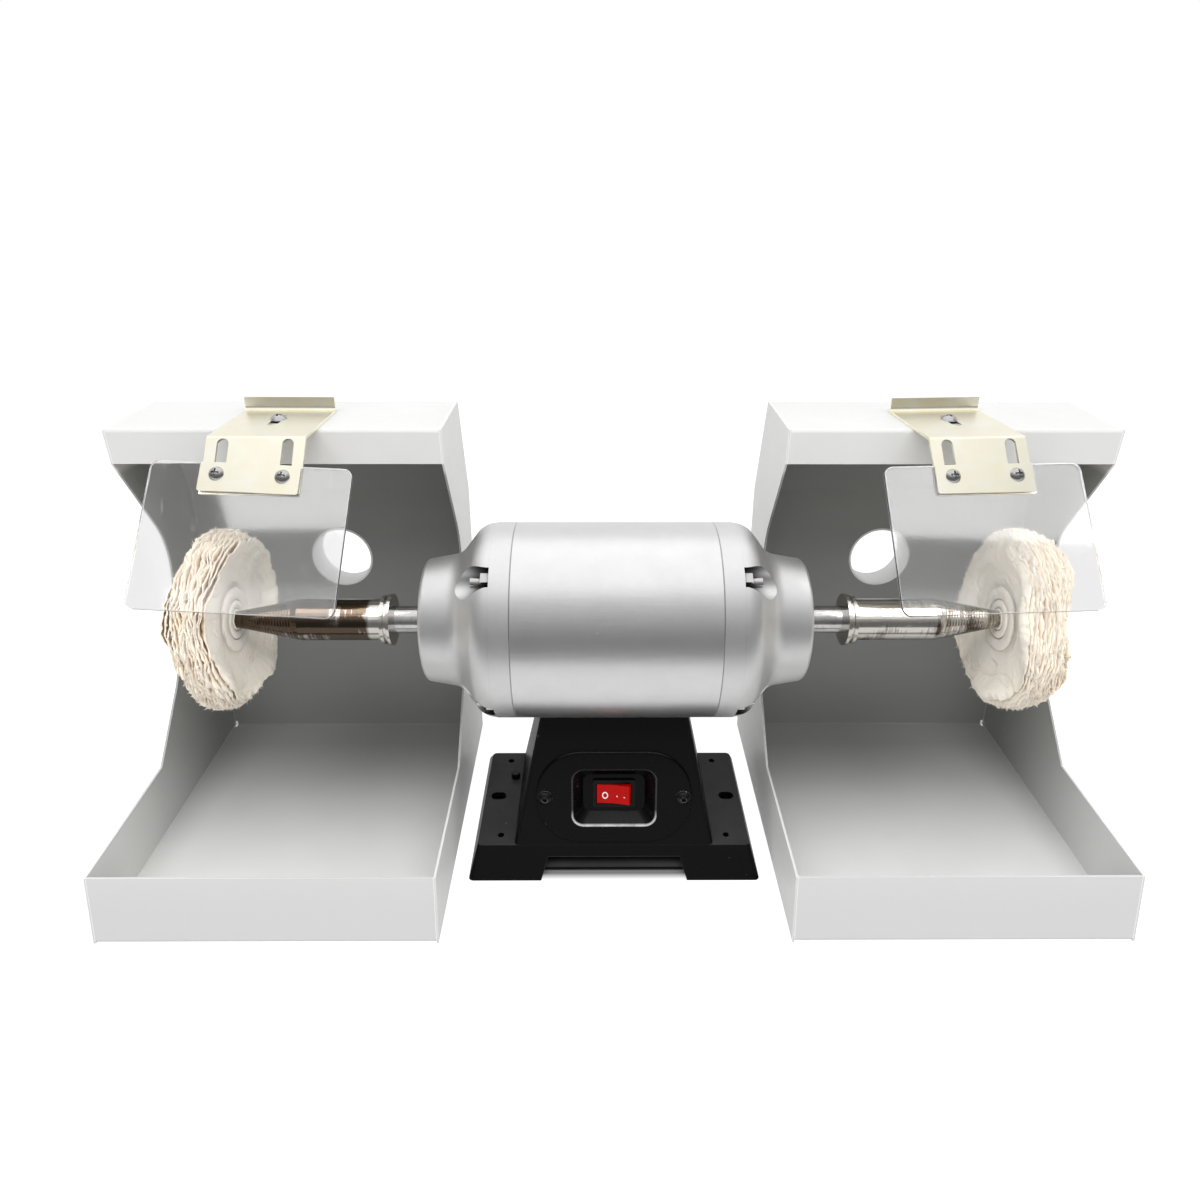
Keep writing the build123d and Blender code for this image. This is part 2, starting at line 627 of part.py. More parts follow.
def mount_screw_places(piece):
    """Copies of a piece at the motor's four fixing screws; it points down from the axis."""
    return [Pos(x, 0, AXIS_Z) * Rot(turn, 0, 0) * piece
            for x in (-MOUNT_SCREW_X, MOUNT_SCREW_X) for turn in (-MOUNT_SCREW_TURN, MOUNT_SCREW_TURN)]


def corner_places(piece, x, y):
    return [Pos(sx * x, sy * y, 0) * piece for sx in (-1, 1) for sy in (-1, 1)]


def base_shell():
    wall = BASE_WALL
    skirt = frustum((FOOT_HALF_X, FOOT_HALF_Y, 0), (EAR_HALF_X, EAR_HALF_Y, EAR_Z))
    skirt -= frustum((FOOT_HALF_X - wall, FOOT_HALF_Y - 1.4 * wall, 0),
                     (EAR_HALF_X - wall, EAR_HALF_Y - wall, EAR_Z - wall))
    pedestal = frustum(pedestal_at(EAR_Z - wall), pedestal_at(PEDESTAL_TOP))
    shell = skirt + pedestal
    hollow = frustum(pedestal_at(EAR_Z - wall - TINY, wall), pedestal_at(PEDESTAL_TOP, wall))
    shell -= hollow - rod(-FOOT_HALF_X, FOOT_HALF_X, BODY_R + SADDLE_WALL)
    bosses = corner_places(post(BOSS_R, BOTTOM_TOP, BOTTOM_TOP + BOSS_HEIGHT), BOSS_X, BOSS_Y)
    shell += bosses
    shell -= rod(-FOOT_HALF_X, FOOT_HALF_X, BODY_R + FIT)
    bottom_hole_end = BOTTOM_TOP + BOTTOM_SCREW_LENGTH + BOTTOM_HOLE_SPARE
    shell -= corner_places(post(BOTTOM_SCREW_R + FIT, BOTTOM_TOP - TINY, bottom_hole_end),
                           BOSS_X, BOSS_Y)
    notch = Polyline((-NOTCH_HALF_X, -TINY), (NOTCH_HALF_X, -TINY), (NOTCH_TOP_HALF_X, NOTCH_HEIGHT),
                     (-NOTCH_TOP_HALF_X, NOTCH_HEIGHT), close=True)
    shell -= extrude(Plane.XZ * make_face(notch), FOOT_HALF_Y + TINY, both=True)
    slot = extrude(SlotOverall(EAR_SLOT_LENGTH, 2 * EAR_SLOT_R), EAR_Z + TINY)
    shell -= [Pos(x, 0, 0) * slot for x in (-EAR_SLOT_X, EAR_SLOT_X)]
    shell -= corner_places(post(EAR_HOLE_R, 0, EAR_Z + TINY), EAR_HOLE_X, EAR_HOLE_Y)
    shell -= Pos(EARTH_X, EARTH_Y, 0) * post(EARTH_SCREW_R + FIT, 0, EAR_Z + TINY)
    shell -= mount_screw_places(post(MOUNT_SCREW_R + FIT, -BODY_R - SADDLE_WALL - TINY, -BODY_R + TINY))
    window = Box(RECESS_LENGTH + 2 * PANEL_CUT_MARGIN, RECESS_HEIGHT + 2 * PANEL_CUT_MARGIN, 4 * wall)
    screw_hole = Cylinder(PLATE_SCREW_R + FIT, 4 * wall)
    shell -= front_panel().location * window
    shell -= plate_screw_places(screw_hole)
    return shell - gland_plane().location * Cylinder(GLAND_THREAD_R + FIT, 4 * wall)


def plate_screw_places(piece):
    """Copies of a piece at the two screws of the switch plate."""
    return [front_panel().location * Pos(x, 0, 0) * piece for x in (-PLATE_SCREW_X, PLATE_SCREW_X)]


def base_bottom_plate():
    outline = RectangleRounded(2 * BOTTOM_HALF_X, 2 * BOTTOM_HALF_Y, BASE_CORNER_R)
    plate = Pos(0, 0, BOTTOM_Z) * extrude(outline, BOTTOM_THICKNESS)
    return plate - corner_places(bottom_screw(FIT), BOSS_X, BOSS_Y)


def bottom_screw(grow=0.0):
    """A countersunk screw flush with the underside of the bottom plate."""
    sink = Pos(0, 0, BOTTOM_Z) * Cone(2 * BOTTOM_SCREW_R + grow, BOTTOM_SCREW_R + grow, BOTTOM_SCREW_R,
                                      align=(Align.CENTER, Align.CENTER, Align.MIN))
    return sink + post(BOTTOM_SCREW_R + grow, BOTTOM_Z, BOTTOM_TOP + BOTTOM_SCREW_LENGTH)


def base_plate_screws():
    return corner_places(bottom_screw(), BOSS_X, BOSS_Y)


def earth_screw():
    head_start = EAR_Z + EARTH_WASHER_THICKNESS
    screw = post(EARTH_WASHER_R, EAR_Z, head_start)
    screw += Pos(0, 0, head_start) * hexagon(EARTH_HEAD_AF, EARTH_HEAD_HEIGHT)
    screw += post(EARTH_SCREW_R, EAR_Z - BASE_WALL - THREAD_PAST, EAR_Z)
    return Pos(EARTH_X, EARTH_Y, 0) * screw


def motor_mount_screws():
    saddle = -BODY_R - SADDLE_WALL
    screw = post(MOUNT_SCREW_R, saddle, -HOUSING_BORE_R - MOUNT_SCREW_SHORT)
    screw += post(MOUNT_HEAD_R, saddle - MOUNT_HEAD_HEIGHT, saddle)
    socket = Pos(0, 0, saddle - MOUNT_HEAD_HEIGHT - TINY) * hexagon(MOUNT_HEAD_R, MOUNT_HEAD_HEIGHT / 2)
    return mount_screw_places(screw - socket)


# ---- switch -------------------------------------------------------------------------
def recess_section(height, grow=0.0):
    """The recess's outline at a height over the panel, tapering towards its floor."""
    share = (PLATE_THICKNESS - height) / RECESS_DEPTH
    length = RECESS_LENGTH - 2 * RECESS_DRAFT * share + 2 * grow
    width = RECESS_HEIGHT - 2 * RECESS_DRAFT * share + 2 * grow
    return Pos(0, 0, height) * RectangleRounded(length, width, RECESS_CORNER_R - 2 * share + grow)


def switch_plate():
    """Pressed plate over the front panel, with a dished seat for the switch."""
    wall = PLATE_THICKNESS
    plate = extrude(RectangleRounded(PLATE_LENGTH, PLATE_HEIGHT, PLATE_END_R), wall)
    plate += loft([recess_section(RECESS_FLOOR - wall, wall), recess_section(wall, wall)])
    mouth = loft([recess_section(RECESS_FLOOR), recess_section(wall)])
    plate -= mouth
    rim = plate.edges().group_by(Axis.Z)[-1].sort_by(SortBy.LENGTH)[:8]
    plate = fillet(rim, RECESS_RIM_R)
    body = Box(2 * switch_half_x(), 2 * switch_half_y(), 4 * RECESS_DEPTH)
    plate -= body
    plate = front_panel().location * plate
    return plate - plate_screw_places(Cylinder(PLATE_SCREW_R + FIT, 4 * wall))


def rocker_radius():
    """Sweep of the rocker's ends about the pivot."""
    return (ROCKER_HALF ** 2 + ROCKER_TIP ** 2) ** 0.5


def switch_half_x():
    return rocker_radius() + ROCKER_GAP + SWITCH_WALL


def switch_half_y():
    return ROCKER_WIDTH / 2 + ROCKER_GAP + SWITCH_WALL


def switch_housing():
    half_x = switch_half_x() - FIT
    half_y = switch_half_y() - FIT
    bezel = Pos(0, 0, RECESS_FLOOR) * extrude(RectangleRounded(BEZEL_LENGTH, BEZEL_HEIGHT, BEZEL_CORNER_R),
                                              BEZEL_THICKNESS)
    body = Pos(0, 0, RECESS_FLOOR - SWITCH_DEPTH / 2) * Box(2 * half_x, 2 * half_y, SWITCH_DEPTH)
    well_depth = PIVOT_DEPTH + 2 * ROCKER_DEPTH
    well = Pos(0, 0, BEZEL_FACE - well_depth / 2) * Box(2 * (rocker_radius() + ROCKER_GAP),
                                                        ROCKER_WIDTH + 2 * ROCKER_GAP, well_depth)
    pivot_length = ROCKER_WIDTH + 2 * PIVOT_REACH + RUN
    pivot = Pos(0, 0, PIVOT_HEIGHT) * Rot(90, 0, 0) * Cylinder(PIVOT_R + RUN, pivot_length)
    housing = bezel + body - well - pivot
    blade = Box(TERMINAL_THICKNESS, TERMINAL_WIDTH, TERMINAL_LENGTH)
    blade = Pos(0, 0, RECESS_FLOOR - SWITCH_DEPTH - TERMINAL_LENGTH / 2) * blade
    housing += [Pos(x, 0, 0) * blade for x in (-half_x / 2, half_x / 2)]
    return front_panel().location * housing


def switch_rocker():
    outline = Polyline((-2 * ROCKER_HALF, -ROCKER_DEPTH), (2 * ROCKER_HALF, -ROCKER_DEPTH),
                       (ROCKER_HALF, ROCKER_TIP), (0, ROCKER_VALLEY), (-ROCKER_HALF, ROCKER_TIP), close=True)
    section = make_face(outline) & Circle(rocker_radius())
    rocker = extrude(Plane.XZ * section, ROCKER_WIDTH / 2, both=True)
    rocker += Rot(90, 0, 0) * Cylinder(PIVOT_R, ROCKER_WIDTH + 2 * PIVOT_REACH)
    return front_panel().location * Pos(0, 0, PIVOT_HEIGHT) * Rot(0, -ROCKER_REST, 0) * rocker


def switch_plate_screws():
    head = dome_head(PLATE_HEAD_R, PLATE_HEAD_HEIGHT)
    socket = Pos(0, 0, PLATE_HEAD_HEIGHT / 3) * hexagon(PLATE_SOCKET_AF, PLATE_HEAD_HEIGHT)
    screw = Pos(0, 0, PLATE_THICKNESS) * (head - socket)
    screw += post(PLATE_SCREW_R, -BASE_WALL - THREAD_PAST, PLATE_THICKNESS)
    return plate_screw_places(screw)


# ---- fittings inside the base -------------------------------------------------------
def capacitor_z():
    return BOTTOM_TOP + CLIP_THICKNESS + FIT + CAPACITOR_R


def capacitor():
    start = CAPACITOR_X - CAPACITOR_LENGTH / 2
    return rod(start, start + CAPACITOR_LENGTH, CAPACITOR_R, CAPACITOR_Y, capacitor_z())


def capacitor_clip():
    """A strap round the capacitor, with a foot on the bottom plate."""
    start = CAPACITOR_X - CLIP_WIDTH / 2
    end = start + CLIP_WIDTH
    bore = CAPACITOR_R + FIT
    strap = rod(start, end, bore + CLIP_THICKNESS, CAPACITOR_Y, capacitor_z())
    foot = Pos(CAPACITOR_X, CAPACITOR_Y - (CAPACITOR_R + CLIP_FOOT) / 2, BOTTOM_TOP + CLIP_THICKNESS / 2)
    strap += foot * Box(CLIP_WIDTH, CAPACITOR_R + CLIP_FOOT, CLIP_THICKNESS)
    return strap - rod(start - TINY, end + TINY, bore, CAPACITOR_Y, capacitor_z())


def terminal_block():
    block = Box(TERMINAL_BLOCK_LENGTH, TERMINAL_BLOCK_WIDTH, TERMINAL_BLOCK_HEIGHT)
    ways = 3
    pitch = TERMINAL_BLOCK_LENGTH / ways
    for i in range(ways):
        well = Pos((i - (ways - 1) / 2) * pitch, 0, TERMINAL_BLOCK_HEIGHT / 2) * Cylinder(pitch / 4, pitch)
        block -= well
    return Pos(TERMINAL_BLOCK_X, TERMINAL_BLOCK_Y, BOTTOM_TOP + TERMINAL_BLOCK_HEIGHT / 2) * block


def cable_gland():
    body = hexagon(GLAND_HEX_AF, GLAND_HEX_LENGTH)
    body += post(GLAND_CAP_R, GLAND_HEX_LENGTH, GLAND_HEX_LENGTH + GLAND_CAP_LENGTH)
    cap_edge = body.edges().group_by(Axis.Z)[-1]
    body = fillet(cap_edge, GLAND_CAP_R / 4)
    body += post(GLAND_THREAD_R, -BASE_WALL - GLAND_NUT_LENGTH - THREAD_PAST, 0)
    bore_start = -BASE_WALL - GLAND_NUT_LENGTH - THREAD_PAST - TINY
    bore = post(GLAND_BORE_R, bore_start, GLAND_HEX_LENGTH + GLAND_CAP_LENGTH + TINY)
    return gland_plane().location * (body - bore)


def gland_nut():
    nut_start = -BASE_WALL - GLAND_NUT_LENGTH
    nut = Pos(0, 0, nut_start) * hexagon(GLAND_HEX_AF, GLAND_NUT_LENGTH)
    return gland_plane().location * (nut - post(GLAND_THREAD_R + FIT, nut_start - TINY, TINY))


# ---- hoods --------------------------------------------------------------------------
def tray_front_y():
    return HOOD_FRONT_Y + TRAY_FRONT_LEAN


def hood_side(x_start):
    """A side panel of the right-hand hood, one sheet thick."""
    mouth = FilletPolyline((ROOF_FRONT_Y, LIP_BOTTOM_Z), MOUTH_DEEP, MOUTH_LOW, (TRAY_BACK_Y, TRAY_BACK_Z),
                           radius=[MOUTH_DEEP_R, MOUTH_LOW_R])
    rest = Polyline((TRAY_BACK_Y, TRAY_BACK_Z), (tray_front_y(), TRAY_FRONT_Z), (HOOD_FRONT_Y, 0),
                    (HOOD_FOOT_BACK_Y, 0), (HOOD_KINK_Y, HOOD_KINK_Z), (ROOF_BACK_Y, ROOF_Z),
                    (ROOF_FRONT_Y, ROOF_Z), (ROOF_FRONT_Y, LIP_BOTTOM_Z))
    return profile_yz([*mouth.edges(), *rest.edges()], x_start, x_start + SHEET)


def folded_strip(points, thickness, radius, x_start, x_end):
    """A bent sheet: an outer line in the YZ plane, thickened to its left."""
    line = FilletPolyline(*points, radius=radius)
    return profile_yz(offset(line, amount=thickness, side=Side.LEFT).edges(), x_start, x_end)


def back_plane(x):
    """Working plane on the outside of the lower back panel, at the suction port."""
    lean = radians(BACK_LEAN)
    return Plane((x, PORT_Y, PORT_Z), x_dir=(-1, 0, 0), z_dir=(0, cos(lean), -sin(lean)))


def hood_wrapper():
    """Tray front, floor, back, roof and lip of the right-hand hood, in one folded strip."""
    x_start = HOOD_INNER_X + SHEET
    x_end = HOOD_OUTER_X - SHEET
    line = [(tray_front_y(), TRAY_FRONT_Z), (HOOD_FRONT_Y, 0), (HOOD_FOOT_BACK_Y, 0),
            (HOOD_KINK_Y, HOOD_KINK_Z), (ROOF_BACK_Y, ROOF_Z), (ROOF_FRONT_Y, ROOF_Z),
            (ROOF_FRONT_Y, LIP_BOTTOM_Z)]
    strip = folded_strip(line, SHEET, FOLD_R, x_start, x_end)
    lip_hem = Box(HOOD_WIDTH - 2 * SHEET, SHEET, HEM, align=(Align.CENTER, Align.MIN, Align.MIN))
    strip += Pos(HOOD_MID_X, ROOF_FRONT_Y + SHEET, LIP_BOTTOM_Z) * lip_hem
    for x in (x_start, x_end):
        strip -= Pos(x, HOOD_FOOT_BACK_Y, 0) * Box(RELIEF, 2 * RELIEF, 2 * RELIEF)
    strip -= back_plane(PORT_X).location * Cylinder(PORT_OUTER_R + PORT_SEAM, 6 * SHEET)
    return strip - Pos(BRACKET_X, BRACKET_Y, ROOF_Z) * Cylinder(TOP_SCREW_R + TOP_HOLE_GAP, 4 * SHEET)


def suction_spigot():
    tube = post(PORT_OUTER_R, -SHEET, PORT_LENGTH) + post(PORT_FLANGE_R, 0, PORT_FLANGE_THICKNESS)
    return back_plane(PORT_X).location * (tube - post(PORT_BORE_R, -SHEET - TINY, PORT_LENGTH + TINY))


def bracket_nut():
    """Nut welded under the roof for the bracket's clamping screw."""
    top = ROOF_Z - SHEET
    nut = Pos(0, 0, top - TOP_NUT_HEIGHT) * hexagon(TOP_NUT_AF, TOP_NUT_HEIGHT)
    bore = post(TOP_SCREW_R + RUN, top - TOP_NUT_HEIGHT - TINY, top + TINY)
    return Pos(BRACKET_X, BRACKET_Y, 0) * (nut - bore)


# ---- shield brackets and shields, in a frame with its origin on the roof at the screw -----
def flange_plane():
    """Front face of the bracket's sloping flange, at the front bend."""
    tilt = radians(FLANGE_TILT)
    bend = (0, -BRACKET_FRONT, SLIDE + BRACKET_SHEET)
    return Plane(bend, x_dir=(1, 0, 0), z_dir=(0, -cos(tilt), sin(tilt)))


def shield_bracket():
    top = SLIDE + BRACKET_SHEET
    tilt = radians(FLANGE_TILT)
    line = [(BRACKET_REAR, top + UPSTAND), (BRACKET_REAR, top), (-BRACKET_FRONT, top),
            (-BRACKET_FRONT - FLANGE_LENGTH * sin(tilt), top - FLANGE_LENGTH * cos(tilt))]
    bracket = folded_strip(line, BRACKET_SHEET, BRACKET_BEND_R, -BRACKET_WIDTH / 2, BRACKET_WIDTH / 2)
    slot_length = TOP_SLOT_FRONT + TOP_SLOT_BACK
    top_slot = Rot(0, 0, 90) * extrude(SlotOverall(slot_length, TOP_SLOT_WIDTH), 2 * top, both=True)
    bracket -= Pos(0, (TOP_SLOT_BACK - TOP_SLOT_FRONT) / 2, 0) * top_slot
    run = SHIELD_SLOT_END - SHIELD_SLOT_TOP
    slot = Rot(0, 0, 90) * extrude(SlotOverall(run, SHIELD_SLOT_WIDTH), 2 * BRACKET_SHEET, both=True)
    middle = -(SHIELD_SLOT_TOP + SHIELD_SLOT_END) / 2
    slots = [flange_plane().location * Pos(x, middle, 0) * slot for x in (-SHIELD_SLOT_X, SHIELD_SLOT_X)]
    return bracket - slots


def bracket_screw():
    head_start = SLIDE + BRACKET_SHEET + SLIDE
    screw = Pos(0, 0, head_start) * dome_head(TOP_HEAD_R, TOP_HEAD_HEIGHT)
    screw -= cross_recess(head_start + TOP_HEAD_HEIGHT)
    return screw + post(TOP_SCREW_R, -SHEET - TOP_NUT_HEIGHT - THREAD_PAST, head_start)


def shield_screw_places(piece):
    sides = (-SHIELD_SLOT_X, SHIELD_SLOT_X)
    return [flange_plane().location * Pos(x, -SHIELD_SCREW_AT, 0) * piece for x in sides]


def sheet_on_flange(width, top, bottom, corner, start, thickness):
    """A plate parallel to the flange, between two distances from the front bend."""
    face = Pos(0, -(top + bottom) / 2, start) * RectangleRounded(width, bottom - top, corner)
    plate = flange_plane().location * extrude(face, thickness)
    return plate - shield_screw_places(Cylinder(SHIELD_SCREW_R + FIT, 4 * SCREW_FACE))


def shield():
    bottom = SHIELD_TOP + SHIELD_HEIGHT
    return sheet_on_flange(SHIELD_WIDTH, SHIELD_TOP, bottom, SHIELD_CORNER_R, SLIDE, SHIELD_SHEET)


def clamp_plate():
    outer = SLIDE + SHIELD_SHEET
    return sheet_on_flange(BRACKET_WIDTH, SHIELD_TOP, FLANGE_LENGTH, CLAMP_SHEET, outer, CLAMP_SHEET)


def shield_screws():
    head = Pos(0, 0, SCREW_FACE) * dome_head(SHIELD_HEAD_R, SHIELD_HEAD_HEIGHT)
    head -= cross_recess(SCREW_FACE + SHIELD_HEAD_HEIGHT)
    nut_end = -BRACKET_SHEET - SLIDE - NUT_FLANGE_THICKNESS - SHIELD_NUT_HEIGHT
    return shield_screw_places(head + post(SHIELD_SCREW_R, nut_end - THREAD_PAST / 2, SCREW_FACE))


def shield_nuts():
    seat = -BRACKET_SHEET - SLIDE
    nut = post(NUT_FLANGE_R, seat - NUT_FLANGE_THICKNESS, seat)
    nut_end = seat - NUT_FLANGE_THICKNESS - SHIELD_NUT_HEIGHT
    nut += Pos(0, 0, nut_end) * hexagon(SHIELD_NUT_AF, SHIELD_NUT_HEIGHT + TINY)
    return shield_screw_places(nut - post(SHIELD_SCREW_R + FIT, nut_end - TINY, seat + TINY))


# ---- the whole lathe ----------------------------------------------------------------
def middle_nodes():
    """Pieces that exist once, or as a set shared by both ends."""
    bell = end_bell()
    return {
        "base_shell": base_shell(),
        "base_bottom_plate": base_bottom_plate(),
        "base_plate_screws": base_plate_screws(),
        "earth_screw": earth_screw(),
        "motor_mount_screws": motor_mount_screws(),
        "switch_plate": switch_plate(),
        "switch_plate_screws": switch_plate_screws(),
        "switch_housing": switch_housing(),
        "switch_rocker": switch_rocker(),
        "capacitor": capacitor(),
        "capacitor_clip": capacitor_clip(),
        "terminal_block": terminal_block(),
        "cable_gland": cable_gland(),
        "gland_nut": gland_nut(),
        "motor_housing": motor_housing(),
        "end_bell_right": bell,
        "end_bell_left": mirror(bell, Plane.YZ),
        "through_bolts": through_bolts(),
        "through_bolt_nuts": through_bolt_nuts(),
        "stator_core": stator_core(),
        "stator_windings": stator_windings(),
        "rotor_core": rotor_core(),
        "rotor_end_rings": rotor_end_rings(),
        "shaft": shaft(),
        "bearing_outer_rings": bearing_outer_rings(),
        "bearing_inner_rings": bearing_inner_rings(),
        "bearing_balls": bearing_balls(),
        "wave_washer": wave_washer(),
        "shaft_seals": shaft_seals(),
    }


def spindle_nodes():
    """Spindles with their mops; the left-hand ones are built on the right and mirrored."""
    left_turn = 180 + SET_SCREW_TURN
    return {
        "spindle_right": spindle(SPINDLE_SEAT_RIGHT, SET_SCREW_TURN),
        "spindle_left": mirror(spindle(SPINDLE_SEAT_LEFT, left_turn), Plane.YZ),
        "set_screws": [set_screw(SPINDLE_SEAT_RIGHT, SET_SCREW_TURN),
                       mirror(set_screw(SPINDLE_SEAT_LEFT, left_turn), Plane.YZ)],
        "mop_hub_right": mop_hub(SPINDLE_SEAT_RIGHT),
        "mop_hub_left": mirror(mop_hub(SPINDLE_SEAT_LEFT), Plane.YZ),
        "mop_right": mop(SPINDLE_SEAT_RIGHT),
        "mop_left": mirror(mop(SPINDLE_SEAT_LEFT), Plane.YZ),
    }


def hood_nodes():
    """Both hoods; the left-hand one is the mirror image of the right-hand one."""
    right = {
        "hood_wrapper": hood_wrapper(),
        "hood_inner_side": hood_side(HOOD_INNER_X),
        "hood_outer_side": hood_side(HOOD_OUTER_X - SHEET),
        "suction_spigot": suction_spigot(),
    }
    nodes = {"bracket_nuts": both_sides(bracket_nut())}
    for name, piece in right.items():
        nodes[name + "_right"] = piece
        nodes[name + "_left"] = mirror(piece, Plane.YZ)
    return nodes


def side_nodes(side, x, yaw, skew, shift):
    """A bracket turned about its screw, and its shield skewed and shifted in the slots."""
    place = Pos(x, BRACKET_Y, ROOF_Z) * Rot(0, 0, yaw)
    plane = flange_plane().location
    in_slots = plane * Pos(shift, -SHIELD_SCREW_AT, 0) * Rot(0, 0, skew) * Pos(0, SHIELD_SCREW_AT, 0)
    clamped = place * in_slots * plane.inverse()
    return {
        "bracket_screw_" + side: place * bracket_screw(),
        "shield_bracket_" + side: place * shield_bracket(),
        "shield_" + side: clamped * shield(),
        "clamp_plate_" + side: clamped * clamp_plate(),
        "shield_screws_" + side: [clamped * piece for piece in shield_screws()],
        "shield_nuts_" + side: [clamped * piece for piece in shield_nuts()],
    }


def shield_nodes():
    """The same bracket and shield on each roof, each set a little differently."""
    left = side_nodes("left", -BRACKET_X, BRACKET_YAW_LEFT, SHIELD_SKEW_LEFT, SHIELD_SHIFT_LEFT)
    right = side_nodes("right", BRACKET_X, BRACKET_YAW_RIGHT, SHIELD_SKEW_RIGHT, SHIELD_SHIFT_RIGHT)
    return {**left, **right}


def write_node(name, piece):
    """Shift a node into the final frame and write it, groups as separate solids."""
    group = piece if isinstance(piece, list) else [piece]
    solids = [solid for member in group for solid in member.solids()]
    placed = [Pos(0, FRAME_Y, 0) * solid for solid in solids]
    export_step(placed[0] if len(placed) == 1 else Compound(placed), f"parts/{name}.step")


os.makedirs("parts", exist_ok=True)
for make_nodes in (middle_nodes, spindle_nodes, hood_nodes, shield_nodes):
    for node_name, node_piece in make_nodes().items():
        write_node(node_name, node_piece)
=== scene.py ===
"""Looks of a two-spindle polishing lathe: materials, calico mops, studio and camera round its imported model.

Lengths are in metres, in the model's frame: +X to the user's right, +Y away from the user and +Z up from the
bench. Names that end in _mm, and sizes of noise and relief, are in millimetres.
"""

import math
import random

import bpy
from mathutils import Matrix, Vector, noise

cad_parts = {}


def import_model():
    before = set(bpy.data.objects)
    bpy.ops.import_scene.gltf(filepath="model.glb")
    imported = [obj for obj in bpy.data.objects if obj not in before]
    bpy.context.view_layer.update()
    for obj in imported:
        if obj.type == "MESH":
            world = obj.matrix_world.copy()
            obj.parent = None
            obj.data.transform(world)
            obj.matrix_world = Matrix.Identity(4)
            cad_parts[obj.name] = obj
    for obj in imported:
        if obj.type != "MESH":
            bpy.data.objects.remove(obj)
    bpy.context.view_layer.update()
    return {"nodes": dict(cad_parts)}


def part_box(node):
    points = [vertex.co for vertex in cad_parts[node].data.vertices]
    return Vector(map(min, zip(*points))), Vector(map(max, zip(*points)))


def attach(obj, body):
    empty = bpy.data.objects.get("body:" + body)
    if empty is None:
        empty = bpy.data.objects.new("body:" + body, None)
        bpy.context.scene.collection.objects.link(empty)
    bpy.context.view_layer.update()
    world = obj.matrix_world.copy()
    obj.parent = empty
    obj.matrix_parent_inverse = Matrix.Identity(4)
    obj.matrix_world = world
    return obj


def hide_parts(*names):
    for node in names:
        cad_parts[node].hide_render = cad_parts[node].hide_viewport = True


MM = 0.001
FINE = 1000.0            # texture units per metre, so that a texture scale counts features per millimetre

# camera
CAMERA_AT = (-0.0111, -0.4419, 0.3833)
CAMERA_PITCH = 27.54     # degrees below the horizon
CAMERA_YAW = 0.34        # degrees to the right of +Y
CAMERA_ROLL = 0.13
CAMERA_LENS = 24.96
CAMERA_SENSOR = 36.0

# studio: lamps that face straight down on the bench
SOFTBOX_HEIGHT = 1.2
SOFTBOX_FRONT = -0.74
SOFTBOX_BACK = 0.9
SOFTBOX_HALF_X = 0.9
SOFTBOX_SHOWN = 0.46      # what the softbox adds to the room that metal shows
KEY_FRONT = -0.95
KEY_BACK = -0.2
KEY_RADIANCE = 4.2        # what the key gives paint and cloth
SHEEN_FRONT = -0.58
SHEEN_RADIANCE = 5.6      # what the clear sheets show over them
SHEEN_X = 0.2
SHEEN_DROP = 0.05         # how far the sheen hangs below the softbox

# bench
FLOOR_FRONT = -0.5
FLOOR_BACK = 1.5
FLOOR_HALF_X = 1.8
FLOOR_BELOW = 0.2 * MM    # a hair under the feet, so that the two faces don't coincide
BENCH_GLOW = 0.10         # the bench is a light table: what it gives paint and cloth from below
BENCH_SHOWN = 1.0
BENCH_IN_METAL = 0.62
SHADE_FADE = 6 * MM       # soft edge of the shaded patches of bench
SHADE_BEHIND = 22 * MM    # the patch behind a hood: how deep it is
SHADE_BEYOND = 12 * MM    # how far it passes the hood's outer side
SHADE_LEVEL = 0.2

# room: levels, and the part of a direction's X, Y or Z over which they change
ROOM_LOW = 0.18           # the room that metal shows, from the level of the bench
ROOM_HIGH = 0.78          # and from high up, next to the softbox
ROOM_RISE = (0.15, 0.93)
ROOM_BEHIND = 0.9         # and behind the object
ROOM_BEHIND_FROM = (0.0, 0.3)
ROOM_AMBIENT = 0.52       # what the room in front of the object gives paint and cloth
BACKDROP_LIGHT = 0.8      # what the white behind it gives
BACKDROP_FROM = (0.2, 0.5)
SIDE_LIGHT = 1.3          # what the white walls beside it give
SIDES_FROM = (0.4, 0.7)

# places on the hoods and spindles where a finish or the painted shade changes
HOOD_X = 194 * MM         # middle of a hood, from the middle of the motor
HOOD_UNSHADED_ABOVE = (222 * MM, 228 * MM)
HOOD_SHADE_FROM = (-75 * MM, 60 * MM)    # painted shade darkens the hood's inside between these, towards its back
HOOD_GREYER_FRONT = (140 * MM, 20 * MM)      # and its front is greyer towards the bench
HOOD_OUTSIDE = (20 * MM, 50 * MM)       # its outer side has no painted shade, beyond its middle by this much
SPINDLE_SIDES = (-100 * MM, 100 * MM)   # the film is thicker on the left spindle than on the right one
CONE_LEFT = (-178 * MM, -205 * MM)      # the film thickens along the tapers
CONE_RIGHT = (182 * MM, 210 * MM)
FLANGE_EDGE = (143 * MM, 141 * MM)      # the flanges next to the motor are bare

# mouth of the switch plate's dish, in mm, and the lean of the panel that carries it
PLATE_MIDDLE_Z = 45.9 * MM
PLATE_LEAN_COS = 0.957
DISH_HALF_X = 25.2
DISH_HALF_Z = 18.6
DISH_CORNER_R = 7.0

# rocker print, in mm: middle, half width, half height, and half the stroke as a share of the half width
ROCKER_MARK_Z = 44.0
ROCKER_MARKS = ((-5.4, 1.9, 2.3, 0.2), (1.8, 0.45, 0.45, 0.5), (6.2, 0.4, 0.4, 0.5))

